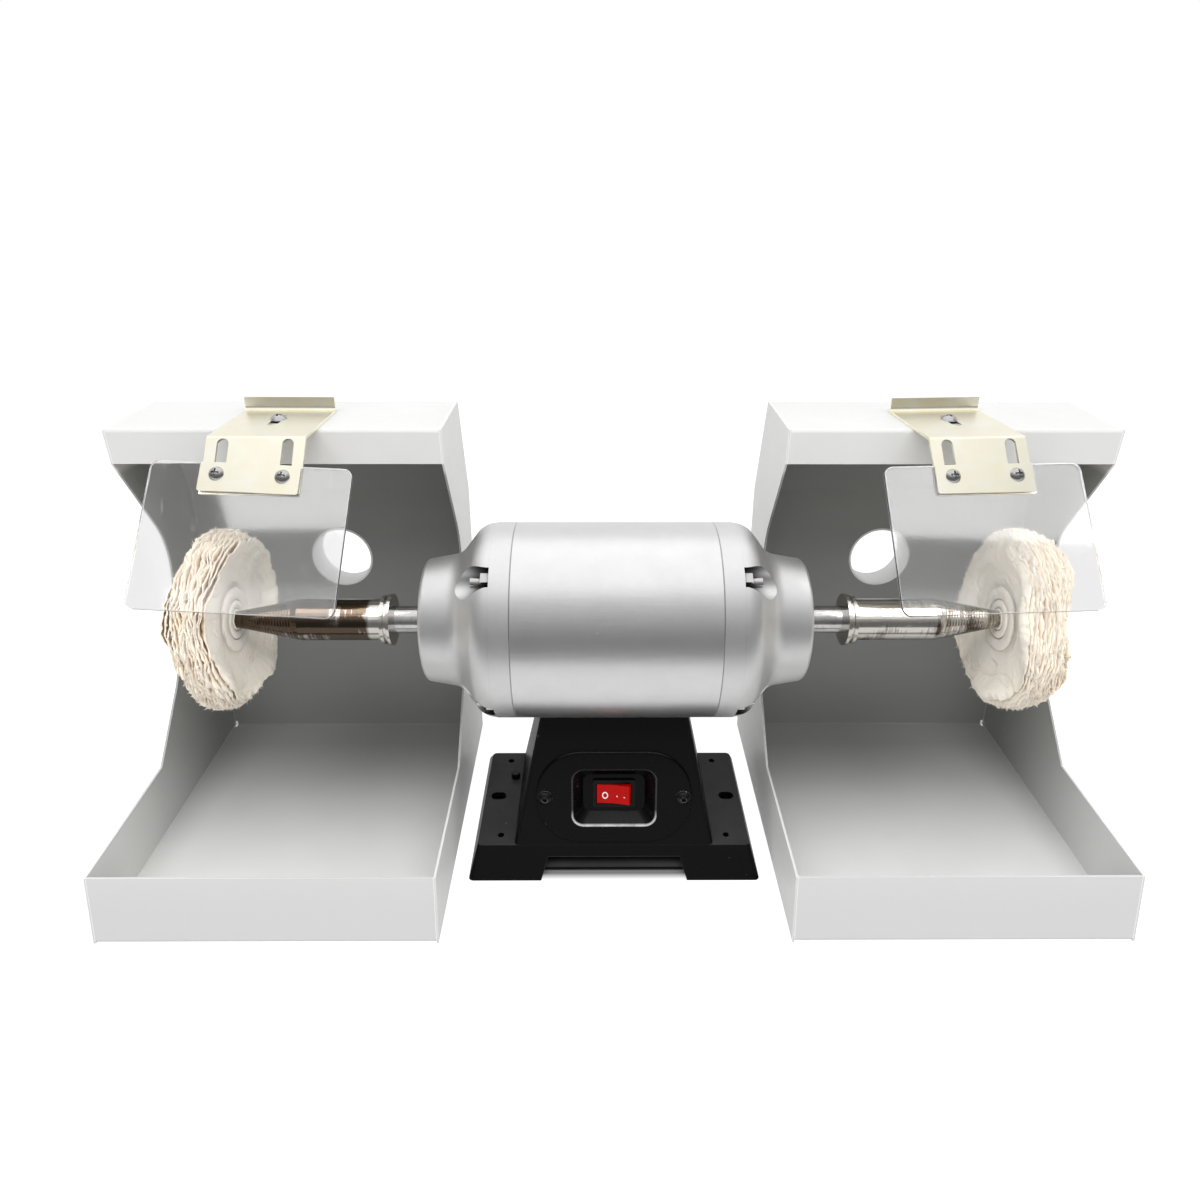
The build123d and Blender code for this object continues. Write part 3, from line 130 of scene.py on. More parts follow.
# mops
HUB_DISC_R = 19.5 * MM
HUB_HALF = 5.0 * MM
HUB_PROUD = 1.3 * MM      # of the pressed centre over the plies' roots
HUB_TURNS = 96            # steps round the centre
HUB_WOBBLE = 0.35         # how far its rings stray sideways, in mm
# the centre's profile: radius in mm, height as a share of the half thickness, and how much painted shade
# makes the cloth tan there
HUB_PROFILE = ((3.4, 0.9, 1), (3.4, 1.0, 0.6), (6.0, 1.05, 0.1), (6.6, 0.86, 1), (7.2, 1.03, 0.1),
               (11.0, 1.0, 0.05), (11.6, 0.84, 1), (12.2, 1.0, 0.05), (17.4, 0.98, 0), (18.8, 0.9, 0.3),
               (19.5, 0.7, 1))
PLY_COUNT = 20
PLY_TURNS = 260           # steps round a ply
PLY_SHARES = (0.0, 0.22, 0.45, 0.66, 0.8, 0.88, 0.93, 0.965, 0.99, 1.0)  # steps out along a ply
PLY_ROWS = len(PLY_SHARES) - 1
PLY_ROOT_R = HUB_DISC_R * 0.93
PLY_SPREAD_R = HUB_DISC_R * 0.9         # from here the plies fan out
PLY_HALF = 0.24           # half a ply's thickness at the hub, in mm
PLY_SWELL = 0.34          # and what the frayed rim adds to it
OUTER_PLY_LIFT = 0.9 * MM               # of the two outermost plies, off the ones inside
TIP_ROUND = 0.93          # from here the ply's edge rounds off
PLY_SHADE_BELOW = 0.985         # a ply is cream out here, and painted shade makes it tan deeper down
PLY_SHADE_OVER = 0.10
RIM_R = 52.0 * MM
RIM_HALF = 10.4 * MM
CROWN = 4.5 * MM          # how much smaller the outermost plies are than the middle ones
EDGE_WAVE = 2.2           # how far a ply's edge waves in and out, in mm
EDGE_FRAY = 1.6           # and how far it frays
SWAY = 1.8                # how far all the plies stray sideways together, in mm
RIPPLE = 0.6              # and how far the ripples of a single ply do
FREE_FROM = 0.3           # share of a ply, from its root, that neither curls nor ripples
# seeds that keep the mop's waves apart: swell, fray and ripple add the ply's number to theirs
SEED_SWELL = 20
SEED_FRAY = 40
SEED_CURL = 50
SEED_FOLDS = 61
SEED_RIPPLE = 70
SEED_SWAY = 90
THREAD_COUNT = 2200
THREAD_LENGTH = (1.4, 3.0)              # in mm
THREAD_LONGER = 1.35      # for some of them
THREAD_LONG_SHARE = 0.08
THREAD_STEPS = ((0, 0.30), (0.55, 0.18))    # how far out along the thread, and its radius in mm
THREAD_SIDES = 3
THREAD_ROOT = 1.0 * MM    # how far inside the ply's edge it starts
THREAD_DRIFT = 0.45       # how far its direction strays from straight out, as a share of its length
THREAD_BEND = 0.25        # and how far its tip strays from its direction
NOT_ALONG = Vector((1, 0.3, 0.2))       # a direction that threads hardly ever take

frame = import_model()
nodes = frame["nodes"]


# ---------------------------------------------------------------- node trees


class Tree:
    """Short calls that add nodes to a node tree."""

    def __init__(self, tree):
        self.tree = tree

    def feed(self, socket, value):
        if isinstance(value, bpy.types.NodeSocket):
            self.tree.links.new(value, socket)
        else:
            socket.default_value = value

    def add(self, kind, inputs=(), **settings):
        node = self.tree.nodes.new("ShaderNode" + kind)
        for key, value in settings.items():
            setattr(node, key, value)
        for key, value in dict(inputs).items():
            self.feed(node.inputs[key], value)
        return node

    def spread(self, value, low, high, to_low=0.0, to_high=1.0):
        """A value between low and high, stretched to run between the two results."""
        values = {"Value": value, "From Min": low, "From Max": high, "To Min": to_low, "To Max": to_high}
        return self.add("MapRange", values).outputs["Result"]

    def maths(self, operation, a, b=0.0):
        return self.add("Math", {0: a, 1: b}, operation=operation).outputs["Value"]


class Shader(Tree):
    """A new material and short calls for its surface."""

    def __init__(self, name, **principled):
        self.material = bpy.data.materials.new(name)
        self.material.use_nodes = True
        super().__init__(self.material.node_tree)
        self.surface = self.tree.nodes["Principled BSDF"]
        for key, value in principled.items():
            self.set(key.replace("_", " "), value)
        self.place = self.add("TexCoord").outputs["Object"]

    def set(self, name, value):
        names = {i.name.lower(): i.name for i in self.surface.inputs}
        self.feed(self.surface.inputs[names[name.lower()]], value)

    def scaled(self, stretch=(1, 1, 1)):
        """The object's place in millimetres, stretched per axis."""
        scale = tuple(FINE * s for s in stretch)
        return self.add("Mapping", {"Vector": self.place, "Scale": scale}).outputs["Vector"]

    def noise(self, size, detail=3.0, roughness=0.55, stretch=(1, 1, 1), distortion=0.0):
        """Noise from 0 to 1 whose features are about size millimetres."""
        values = {"Vector": self.scaled(stretch), "Scale": 1 / size, "Detail": detail,
                  "Roughness": roughness, "Distortion": distortion}
        return self.add("TexNoise", values).outputs["Fac"]

    def cells(self, size):
        """Distance from the nearest of points that lie about size millimetres apart."""
        values = {"Vector": self.scaled(), "Scale": 1 / size}
        return self.add("TexVoronoi", values).outputs["Distance"]

    def axis(self, name):
        """One coordinate of the object's place, in metres."""
        return self.add("SeparateXYZ", {"Vector": self.place}).outputs[name]

    def mix(self, factor, a, b):
        """A colour between two others."""
        node = self.add("Mix", data_type="RGBA")
        for socket, value in zip((node.inputs[0], node.inputs[6], node.inputs[7]), (factor, a, b)):
            self.feed(socket, value)
        return node.outputs[2]

    def bump(self, height, depth, strength=1.0):
        """Relief of the given depth in millimetres, on top of the relief already there."""
        values = {"Height": height, "Distance": depth * MM, "Strength": strength}
        node = self.add("Bump", values)
        earlier = self.surface.inputs["Normal"]
        if earlier.is_linked:
            self.feed(node.inputs["Normal"], earlier.links[0].from_socket)
        self.feed(earlier, node.outputs["Normal"])

    def openness(self, reach_mm):
        """1 in the open, towards 0 deep in a corner or recess."""
        return self.add("AmbientOcclusion", {"Distance": reach_mm * MM}, samples=16).outputs["AO"]

    def edge_highlight(self, size_mm):
        """1 on sharp edges, 0 on flat faces, from how far the bevelled normal leaves the true one."""
        bevel = self.add("Bevel", {"Radius": size_mm * MM}, samples=4).outputs["Normal"]
        flat = self.add("NewGeometry").outputs["Normal"]
        dot = self.add("VectorMath", {0: bevel, 1: flat}, operation="DOT_PRODUCT").outputs["Value"]
        return self.spread(dot, 0.99, 0.85)


def grey(level):
    return (level, level, level, 1.0)


def colour(red, green, blue):
    return (red, green, blue, 1.0)


# ---------------------------------------------------------------- materials


def hood_paint():
    """Light grey satin powder coat: orange peel, painted highlights on its edges, a front that is greyer
    towards the bench, and painted shade inside the hood.
    """
    made = Shader("hood_paint", roughness=0.42)
    patches = made.noise(60, detail=2)
    body = made.mix(made.spread(patches, 0.35, 0.65), colour(0.68, 0.685, 0.675), colour(0.71, 0.71, 0.70))
    beyond = made.maths("SUBTRACT", made.maths("ABSOLUTE", made.axis("X")), HOOD_X)
    normal = made.add("SeparateXYZ", {"Vector": made.add("TexCoord").outputs["Normal"]}).outputs
    # faces that look forward turn greyer towards the bench
    low = made.spread(made.axis("Z"), *HOOD_GREYER_FRONT)
    facing_front = made.spread(normal["Y"], -0.5, -0.9)
    body = made.mix(made.maths("MULTIPLY", low, facing_front), body, grey(0.58))
    outwards = made.maths("MULTIPLY", normal["X"], made.maths("SIGN", made.axis("X")))
    outer_side = made.spread(made.maths("MULTIPLY", beyond, outwards), *HOOD_OUTSIDE)
    rear = made.spread(normal["Y"], 0.5, 0.8)
    above = made.spread(made.axis("Z"), *HOOD_UNSHADED_ABOVE)
    unshaded = made.maths("MAXIMUM", made.maths("MAXIMUM", outer_side, rear), above)
    # painted shade inside the hood, darker towards its back; none on its top, its rear faces or its outer
    # side
    dust_and_shade = made.maths("SUBTRACT", made.spread(made.axis("Y"), *HOOD_SHADE_FROM), unshaded)
    body = made.mix(made.spread(dust_and_shade, 0.0, 1.0), body, colour(0.24, 0.245, 0.235))
    # painted highlights on the sharp edges
    made.set("Base Color", made.mix(made.edge_highlight(0.5), body, grey(0.93)))
    made.set("Roughness", made.spread(made.noise(4, detail=4), 0.3, 0.7, 0.36, 0.5))
    made.bump(made.noise(0.9, detail=2), 0.008)
    made.bump(made.noise(30, detail=1), 0.15)
    return made.material


def satin_aluminium(name, level, grain, turned, roughness=0.345, hollow=6):
    """Turned or cast aluminium: grain, lines round the X axis, rub marks, pits and painted shade in hollows.
    """
    made = Shader(name, metallic=1.0)
    patches = made.noise(14, detail=5, roughness=0.65)
    stain = made.spread(patches, 0.3, 0.72)
    fine = made.noise(grain, detail=4, roughness=0.7)
    stain = made.maths("ADD", made.maths("MULTIPLY", stain, 0.6), made.maths("MULTIPLY", fine, 0.4))
    body = made.mix(stain, grey(level * 0.9), grey(level))
    # painted shade: hollows darken to a fifth of the level
    in_the_open = made.spread(made.openness(hollow), 0.3, 0.75)
    made.set("Base Color", made.mix(in_the_open, grey(level * 0.2), body))
    made.set("Roughness", made.spread(fine, 0.25, 0.75, roughness - 0.055, roughness + 0.055))
    made.bump(fine, 0.016)
    made.bump(made.noise(2.4, detail=5, roughness=0.75, stretch=(0.1, 1, 1)), 0.06 * turned)
    made.bump(made.noise(0.6, detail=3, roughness=0.8, stretch=(1, 0.02, 0.02)), 0.006 * turned)
    pits = made.spread(made.cells(6.5), 0.03, 0.06)
    chance = made.spread(made.noise(9, detail=1), 0.5, 0.56)
    made.bump(made.maths("MAXIMUM", pits, made.maths("SUBTRACT", 1.0, chance)), 0.10)
    return made.material


def spindle_steel():
    """Handled polished steel: dark brown film, worn bright patches, rings and lengthwise scratches."""
    made = Shader("spindle_steel", metallic=1.0)
    along = made.axis("X")
    film_and_sheen = made.noise(14, detail=4, roughness=0.6, stretch=(0.6, 1, 1))
    rings = made.noise(1.6, detail=2, stretch=(1, 0.05, 0.05))
    side = made.spread(along, *SPINDLE_SIDES)
    wear_and_highlight = made.maths("ADD", made.maths("MULTIPLY", film_and_sheen, 0.7), made.maths("MULTIPLY", rings, 0.3))
    wear_and_highlight = made.maths("ADD", wear_and_highlight, made.maths("MULTIPLY", side, 0.2))
    cone_left = made.spread(along, *CONE_LEFT)
    cone_right = made.spread(along, *CONE_RIGHT)
    wear_and_highlight = made.maths("SUBTRACT", wear_and_highlight, made.maths("MULTIPLY", cone_left, 0.10))
    wear_and_highlight = made.maths("SUBTRACT", wear_and_highlight, made.maths("MULTIPLY", cone_right, 0.17))
    flange = made.spread(made.maths("ABSOLUTE", along), *FLANGE_EDGE)
    bare = made.maths("MAXIMUM", made.spread(wear_and_highlight, 0.54, 0.68), flange)
    made.set("Base Color", made.mix(bare, colour(0.095, 0.07, 0.05), colour(0.66, 0.63, 0.59)))
    made.set("Roughness", made.spread(film_and_sheen, 0.3, 0.7, 0.09, 0.2))
    made.bump(made.noise(0.5, detail=2, stretch=(1, 0.04, 0.04)), 0.004)
    made.bump(made.spread(made.noise(3.0, detail=3, roughness=0.8, stretch=(0.15, 1, 1)), 0.62, 0.66), 0.02)
    return made.material


def ground_steel(name, level, roughness, film_and_sheen=0.0, recess=0.0, edge=0.0):
    """Ground steel: fine rings round the axis, a faint stain, and, if asked, painted shade in recesses and
    painted highlights on edges.
    """
    made = Shader(name, metallic=1.0)
    stain = made.spread(made.noise(7, detail=4, roughness=0.7), 0.45, 0.7)
    tarnished = colour(level * (1 - film_and_sheen), level * (0.96 - film_and_sheen), level * (0.9 - film_and_sheen))
    body = made.mix(stain, grey(level), tarnished)
    # painted shade deep in recesses
    if recess:
        body = made.mix(made.spread(made.openness(recess), 0.35, 0.8), grey(0.004), body)
    # painted highlights on sharp edges
    if edge:
        body = made.mix(made.edge_highlight(0.45), body, grey(edge))
    made.set("Base Color", body)
    rings = made.noise(0.35, detail=2, stretch=(1, 0.03, 0.03))
    made.set("Roughness", made.spread(rings, 0.3, 0.7, roughness * 0.8, roughness * 1.25))
    made.bump(rings, 0.004)
    return made.material


def dish_rim_highlight(made):
    """A painted highlight on the rim round the mouth of the plate's dish: strong along the bottom, faint
    elsewhere.
    """
    across = made.maths("ABSOLUTE", made.maths("MULTIPLY", made.axis("X"), FINE))
    up = made.maths("SUBTRACT", made.axis("Z"), PLATE_MIDDLE_Z)
    up = made.maths("MULTIPLY", up, FINE / PLATE_LEAN_COS)
    beside = made.maths("MAXIMUM", made.maths("SUBTRACT", across, DISH_HALF_X - DISH_CORNER_R), 0.0)
    over = made.maths("SUBTRACT", made.maths("ABSOLUTE", up), DISH_HALF_Z - DISH_CORNER_R)
    over = made.maths("MAXIMUM", over, 0.0)
    squares = made.maths("ADD", made.maths("POWER", beside, 2.0), made.maths("POWER", over, 2.0))
    outside = made.maths("SUBTRACT", made.maths("SQRT", squares), DISH_CORNER_R)
    line = made.spread(made.maths("ABSOLUTE", outside), 0.75, 0.2)
    inside_only = made.spread(made.maths("MAXIMUM", beside, over), 0.5, 2.0)
    # the painted highlight's strength varies along the rim
    wear_and_highlight = made.spread(made.noise(7, detail=3), 0.3, 0.7, 0.55, 1.0)
    strength = made.spread(up, -8.0, -13.0, 0.06, wear_and_highlight)
    return made.maths("MULTIPLY", made.maths("MULTIPLY", line, inside_only), strength)


def black_coat(name, level, roughness, shine, edge, rim=None):
    """Black stove enamel: orange peel, dust specks, a painted sheen on what faces up, and painted highlights
    on its edges, or along a rim if one is given.
    """
    made = Shader(name, specular_ior_level=shine)
    dust_and_shade = made.spread(made.cells(7.0), 0.075, 0.04)
    few = made.spread(made.noise(16, detail=2), 0.52, 0.58)
    speck = made.maths("MULTIPLY", made.maths("MULTIPLY", dust_and_shade, few), 0.5)
    # painted sheen: faces that look up are grey
    upwards = made.add("SeparateXYZ", {"Vector": made.add("TexCoord").outputs["Normal"]}).outputs["Z"]
    uneven = made.spread(made.noise(25, detail=4), 0.2, 0.8, 0.6, 1.0)
    film_and_sheen = made.maths("MULTIPLY", made.spread(upwards, 0.8, 0.97), uneven)
    body = made.mix(film_and_sheen, grey(level), grey(0.042))
    # painted highlights along the given rim, else on all sharp edges
    painted_highlight = rim(made) if rim else made.edge_highlight(0.5)
    body = made.mix(painted_highlight, body, grey(edge))
    made.set("Base Color", made.mix(speck, body, grey(0.2)))
    peel = made.noise(1.2, detail=5)
    made.set("Roughness", made.spread(peel, 0.3, 0.7, roughness * 0.85, roughness * 1.2))
    made.bump(made.noise(0.8, detail=2), 0.02)
    return made.material


def moulded_plastic(name, base, roughness):
    """Moulded plastic with a fine spark-eroded skin."""
    made = Shader(name, specular_ior_level=0.2)
    darker = colour(*(c * 0.9 for c in base[:3]))
    made.set("Base Color", made.mix(made.noise(12, detail=2), base, darker))
    skin = made.noise(0.7, detail=3)
    made.set("Roughness", made.spread(skin, 0.3, 0.7, roughness * 0.85, roughness * 1.15))
    made.bump(made.noise(0.25, detail=2), 0.012)
    return made.material


def rocker_plastic():
    """Glossy red moulded plastic with a nought printed at the left and two small white dots at the right."""
    made = Shader("red_plastic", roughness=0.24, specular_ior_level=0.12)
    body = made.mix(made.noise(5, detail=2), colour(0.38, 0.002, 0.001), colour(0.44, 0.003, 0.002))
    across = made.maths("MULTIPLY", made.axis("X"), FINE)
    up = made.maths("SUBTRACT", made.maths("MULTIPLY", made.axis("Z"), FINE), ROCKER_MARK_Z)
    print_mask = 0.0
    for x, half_width, half_height, stroke in ROCKER_MARKS:
        sideways = made.maths("DIVIDE", made.maths("SUBTRACT", across, x), half_width)
        upwards = made.maths("DIVIDE", up, half_height)
        squares = made.maths("ADD", made.maths("POWER", sideways, 2.0), made.maths("POWER", upwards, 2.0))
        off_line = made.maths("ABSOLUTE", made.maths("SUBTRACT", made.maths("SQRT", squares), 1.0 - stroke))
        print_mask = made.maths("MAXIMUM", print_mask, made.spread(off_line, stroke, stroke * 0.6))
    made.set("Base Color", made.mix(print_mask, body, grey(0.85)))
    return made.material


def zinc_plate():
    """Yellow passivated zinc: pale straw with soft greenish and rosy clouds."""
    made = Shader("zinc_plate", metallic=1.0)
    clouds = made.spread(made.noise(16, detail=3, roughness=0.5), 0.35, 0.65)
    tint = made.spread(made.noise(23, detail=2, distortion=0.6), 0.42, 0.62)
    straw = made.mix(clouds, colour(0.97, 0.93, 0.74), colour(0.99, 0.97, 0.85))
    made.set("Base Color", made.mix(tint, straw, colour(0.98, 0.93, 0.78)))
    made.set("Roughness", made.spread(made.noise(0.8, detail=4), 0.3, 0.7, 0.3, 0.42))
    made.bump(made.noise(0.5, detail=3), 0.01)
    made.bump(made.noise(12, detail=1), 0.08)
    return made.material


def clear_acrylic():
    """Clear acrylic sheet: painted highlights that make its edges pale, smudges and hairline scratches.
    Lamplight goes straight through.
    """
    made = Shader("clear_acrylic", roughness=0.05, ior=1.5)
    smears = made.noise(9, detail=5, roughness=0.7, stretch=(1, 1, 0.4))
    scratches = made.noise(2.2, detail=2, stretch=(0.9, 0.06, 0.06), distortion=0.4)
    smudge = made.spread(smears, 0.6, 0.85, 0.0, 0.08)
    haze = made.maths("ADD", smudge, made.spread(scratches, 0.70, 0.74, 0.0, 0.05))
    # painted highlights: the sharp edges are pale and not see-through
    edge = made.edge_highlight(0.8)
    made.set("Transmission Weight", made.maths("SUBTRACT", 1.0, made.maths("MAXIMUM", haze, edge)))
    made.set("Base Color", made.mix(edge, grey(1.0), grey(0.72)))
    rays = made.add("LightPath").outputs
    through = made.maths("MAXIMUM", rays["Is Shadow Ray"], rays["Is Diffuse Ray"])
    clear = made.add("BsdfTransparent", {"Color": grey(0.93)}).outputs["BSDF"]
    sheet = made.add("MixShader", {0: through, 1: made.surface.outputs["BSDF"], 2: clear}).outputs["Shader"]
    made.feed(made.tree.nodes["Material Output"].inputs["Surface"], sheet)
    return made.material


def copper_windings():
    """Enamelled copper turns, packed side by side."""
    made = Shader("winding_copper", metallic=1.0, roughness=0.3)
    turns = made.noise(1.1, detail=1, stretch=(0.1, 1, 1))
    made.set("Base Color", made.mix(turns, colour(0.55, 0.20, 0.07), colour(0.78, 0.38, 0.18)))
    made.bump(turns, 0.3)
    return made.material


def cotton(name, cream, tan):
    """Unbleached calico: plain weave and creases, painted shade that turns it tan in the depth between plies
    and along the creases, cream at the frayed rim.
    """
    made = Shader(name, roughness=0.9, specular_ior_level=0.1)
    # painted shade: the depth attribute darkens the cloth to tan between the plies and in the hub's rings
    depth = made.add("Attribute", attribute_name="depth").outputs["Fac"]
    cloud = made.maths("SUBTRACT", made.noise(9, detail=4, roughness=0.6), 0.5)
    shade = made.maths("ADD", depth, made.maths("MULTIPLY", cloud, 0.5))
    round_the_rim = made.noise(1.7, detail=3, stretch=(1, 0.07, 0.07), distortion=0.3)
    creases = made.spread(round_the_rim, 0.54, 0.64)
    # painted shade along the creases
    shade = made.maths("ADD", shade, made.maths("MULTIPLY", creases, 0.25))
    made.set("Base Color", made.mix(made.spread(shade, 0.1, 0.95), cream, tan))
    made.bump(made.maths("SUBTRACT", 1.0, creases), 0.5)
    made.set("Sheen Weight", 0.04)
    made.set("Sheen Roughness", 0.5)
    made.set("Subsurface Weight", 0.3)
    made.set("Subsurface Radius", (0.004, 0.003, 0.002))
    made.set("Subsurface Scale", 0.5)
    made.bump(made.noise(0.45, detail=3), 0.12)
    made.bump(made.noise(3.5, detail=3), 0.5)
    return made.material


def plain_name(material):
    """A material's name without the number that tells namesakes apart."""
    return material.name.split(".")[0]


MATERIALS = {plain_name(made): made for made in (
    # the last number of each black coat is the grey of its painted highlights
    black_coat("base_black", 0.003, 0.34, 0.1, 0.03),
    black_coat("black_plate", 0.001, 0.26, 0.12, 0.6, dish_rim_highlight),
    moulded_plastic("black_plastic", grey(0.002), 0.4),
    # recess and edge add painted shade in recesses and painted highlights on edges
    ground_steel("dark_screws", 0.03, 0.25, recess=2.0, edge=0.3),
    rocker_plastic(),
    ground_steel("bright_screws", 0.55, 0.18, recess=5.0),
    ground_steel("oiled_screws", 0.5, 0.2, recess=2.6, edge=0.95),
    ground_steel("capacitor_can", 0.75, 0.3),
    ground_steel("clip_steel", 0.6, 0.3),
    moulded_plastic("white_plastic", grey(0.86), 0.45),
    satin_aluminium("motor_aluminium", 0.80, 0.5, 1.0),
    satin_aluminium("bell_aluminium", 0.80, 0.9, 0.3, 0.45, 15),
    ground_steel("core_steel", 0.33, 0.4),
    copper_windings(),
    satin_aluminium("cast_cage", 0.7, 0.8, 0.3),
    ground_steel("shaft_steel", 0.62, 0.16, 0.25),
    ground_steel("bearing_steel", 0.75, 0.1),
    moulded_plastic("seal_rubber", grey(0.02), 0.7),
    spindle_steel(),
    # the second colour of each calico is that of its painted shade
    cotton("mop_centre", colour(0.92, 0.86, 0.77), colour(0.24, 0.21, 0.18)),
    cotton("mop_cotton", colour(1.0, 0.905, 0.78), colour(0.90, 0.73, 0.54)),
    hood_paint(),
    zinc_plate(),
    clear_acrylic(),
)}

NODE_FINISHES = {
    "end_bell_left": "bell_aluminium", "end_bell_right": "bell_aluminium", "earth_screw": "black_plastic",
    "bracket_screw_left": "oiled_screws", "bracket_screw_right": "oiled_screws",
    "shield_screws_left": "oiled_screws", "shield_screws_right": "oiled_screws",
    "suction_spigot_left": "white_plastic", "suction_spigot_right": "white_plastic",
}
SHOWS_SHEEN = ("shield_left", "shield_right")


def finish_nodes():
    """Gives every node of the model its own finish or else the material of its slot."""
    for name, thing in nodes.items():
        for slot in thing.material_slots:
            slot.material = MATERIALS[NODE_FINISHES.get(name, plain_name(slot.material))]


# ---------------------------------------------------------------- meshes


def new_piece(name, vertices, faces, material):
    mesh = bpy.data.meshes.new(name)
    mesh.from_pydata([tuple(v) for v in vertices], [], faces)
    mesh.materials.append(MATERIALS[material])
    piece = bpy.data.objects.new(name, mesh)
    bpy.context.scene.collection.objects.link(piece)
    return piece


def smooth(piece):
    piece.data.polygons.foreach_set("use_smooth", [True] * len(piece.data.polygons))


def set_painted_shade(piece, values):
    attribute = piece.data.attributes.new("depth", "FLOAT", "POINT")
    attribute.data.foreach_set("value", values)


def eased(t):
    t = min(max(t, 0.0), 1.0)
    return t * t * (3 - 2 * t)


class Mop:
    """A calico mop round the X axis, at the left for side -1: its plies fan out from a stitched hub.

    Crumple is how far a single ply strays sideways and folds how far the outer plies do together, both in
    millimetres, and curls is how closely the waves of a single ply follow each other round the mop.
    """

    def __init__(self, side, crumple, curls, folds):
        name = "left" if side < 0 else "right"
        low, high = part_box("mop_" + name)
        self.name = name
        self.side = side
        self.middle = (low + high) / 2
        self.crumple = crumple
        self.curls = curls
        self.folds = folds
        self.random = random.Random(11 + side)

    def wave(self, angle, depth, seed, density):
        """Noise that closes on itself round the mop: the denser it is, the more waves there are."""
        place = Vector((math.cos(angle) * density, math.sin(angle) * density, depth + seed * 7.31))
        return noise.noise(place)

    def point(self, ply, share, angle):
        """The middle of a ply: share runs from 0 at the hub to 1 at the rim."""
        s = 2 * ply / (PLY_COUNT - 1) - 1
        tip = RIM_R - CROWN * abs(s) ** 3
        edge_wave = self.wave(angle, 0, ply, 5) * EDGE_WAVE
        tip += (edge_wave + self.wave(angle, 0, ply + SEED_FRAY, 16) * EDGE_FRAY) * MM
        radius = PLY_ROOT_R + (tip - PLY_ROOT_R) * share
        spread = eased((radius - PLY_SPREAD_R) / (RIM_R - HUB_DISC_R))
        across = s * (HUB_HALF + (RIM_HALF - HUB_HALF) * spread)
        sway = self.wave(angle, s * 0.8, SEED_SWAY, 1.3) * SWAY
        folds = self.wave(angle, share * 2.6, SEED_FOLDS, 1.1) * self.folds * s * s
        curl = self.wave(angle, share * 0.8 + ply * 0.5, SEED_CURL, self.curls) * self.crumple
        curl *= 1 - 0.5 * s ** 4
        ripple = self.wave(angle, share * 2, ply + SEED_RIPPLE, 20) * RIPPLE
        free = max(0.0, share - FREE_FROM) ** 1.3
        across += (sway + folds) * MM * spread + (curl + ripple) * MM * free
        if abs(s) == 1:
            across += s * OUTER_PLY_LIFT * spread
        return across, radius

    def plies(self):
        """Each ply is a closed sheet: a strip out along one face, round the rim and back along the other."""
        vertices, faces, shade_levels = [], [], []
        ring = 2 * PLY_ROWS + 1
        for ply in range(PLY_COUNT):
            start = len(vertices)
            outermost = ply in (0, PLY_COUNT - 1)
            for turn in range(PLY_TURNS):
                angle = 2 * math.pi * turn / PLY_TURNS
                for row in range(ring):
                    share = PLY_SHARES[PLY_ROWS - abs(row - PLY_ROWS)]
                    face = (row > PLY_ROWS) - (row < PLY_ROWS)
                    across, radius = self.point(ply, share, angle)
                    swell = 1 + 0.5 * self.wave(angle, share * 2, ply + SEED_SWELL, 14)
                    rounding = max(0.0, (share - TIP_ROUND) / (1 - TIP_ROUND))
                    half = (PLY_HALF + PLY_SWELL * share ** 2) * swell * math.sqrt(1 - rounding ** 2) * MM
                    vertices.append(self.placed(across + face * half, radius, angle))
                    # painted shade deep between the plies, none on the outer face of the outermost plies
                    outer_face = outermost and face == (1 if ply else -1)
                    shade_levels.append(0.0 if outer_face else eased((PLY_SHADE_BELOW - share) / PLY_SHADE_OVER))
            for turn in range(PLY_TURNS):
                here, after = start + turn * ring, start + (turn + 1) % PLY_TURNS * ring
                for row in range(ring):
                    beyond = (row + 1) % ring
                    faces.append((here + row, here + beyond, after + beyond, after + row))
        piece = new_piece("calico_plies_" + self.name, vertices, faces, "mop_cotton")
        set_painted_shade(piece, shade_levels)
        smooth(piece)
        return piece

    def placed(self, across, radius, angle):
        return self.middle + Vector((across, radius * math.cos(angle), radius * math.sin(angle)))

    def fuzz(self):
        """Short tapered threads along the frayed rims of the plies."""
        vertices, faces = [], []
        for _ in range(THREAD_COUNT):
            ply = self.random.randrange(PLY_COUNT)
            angle = self.random.uniform(0, 2 * math.pi)
            across, radius = self.point(ply, 1.0, angle)
            root = self.placed(across, radius - THREAD_ROOT, angle)
            out = Vector((0, math.cos(angle), math.sin(angle)))
            drift = Vector([self.random.gauss(0, THREAD_DRIFT) for _ in range(3)])
            length = self.random.uniform(*THREAD_LENGTH) * MM
            length *= THREAD_LONGER if self.random.random() < THREAD_LONG_SHARE else 1.0
            direction = (out + drift).normalized()
            bend = Vector([self.random.gauss(0, THREAD_BEND) for _ in range(3)])
            sideways = direction.cross(NOT_ALONG).normalized()
            other = direction.cross(sideways)
            start = len(vertices)
            for step, width in THREAD_STEPS:
                middle = root + (direction + bend * step) * length * step
                for corner in range(THREAD_SIDES):
                    turn = 2 * math.pi * corner / THREAD_SIDES
                    outwards = sideways * math.cos(turn) + other * math.sin(turn)
                    vertices.append(middle + outwards * width * MM)
            second, tip = start + THREAD_SIDES, start + 2 * THREAD_SIDES
            vertices.append(root + (direction + bend) * length)
            for corner in range(THREAD_SIDES):
                after = (corner + 1) % THREAD_SIDES
                faces.append((start + corner, start + after, second + after, second + corner))
                faces.append((second + corner, second + after, tip))
            faces.append([start + corner for corner in reversed(range(THREAD_SIDES))])
        piece = new_piece("calico_fuzz_" + self.name, vertices, faces, "mop_cotton")
        set_painted_shade(piece, [0.0] * len(vertices))
        return piece

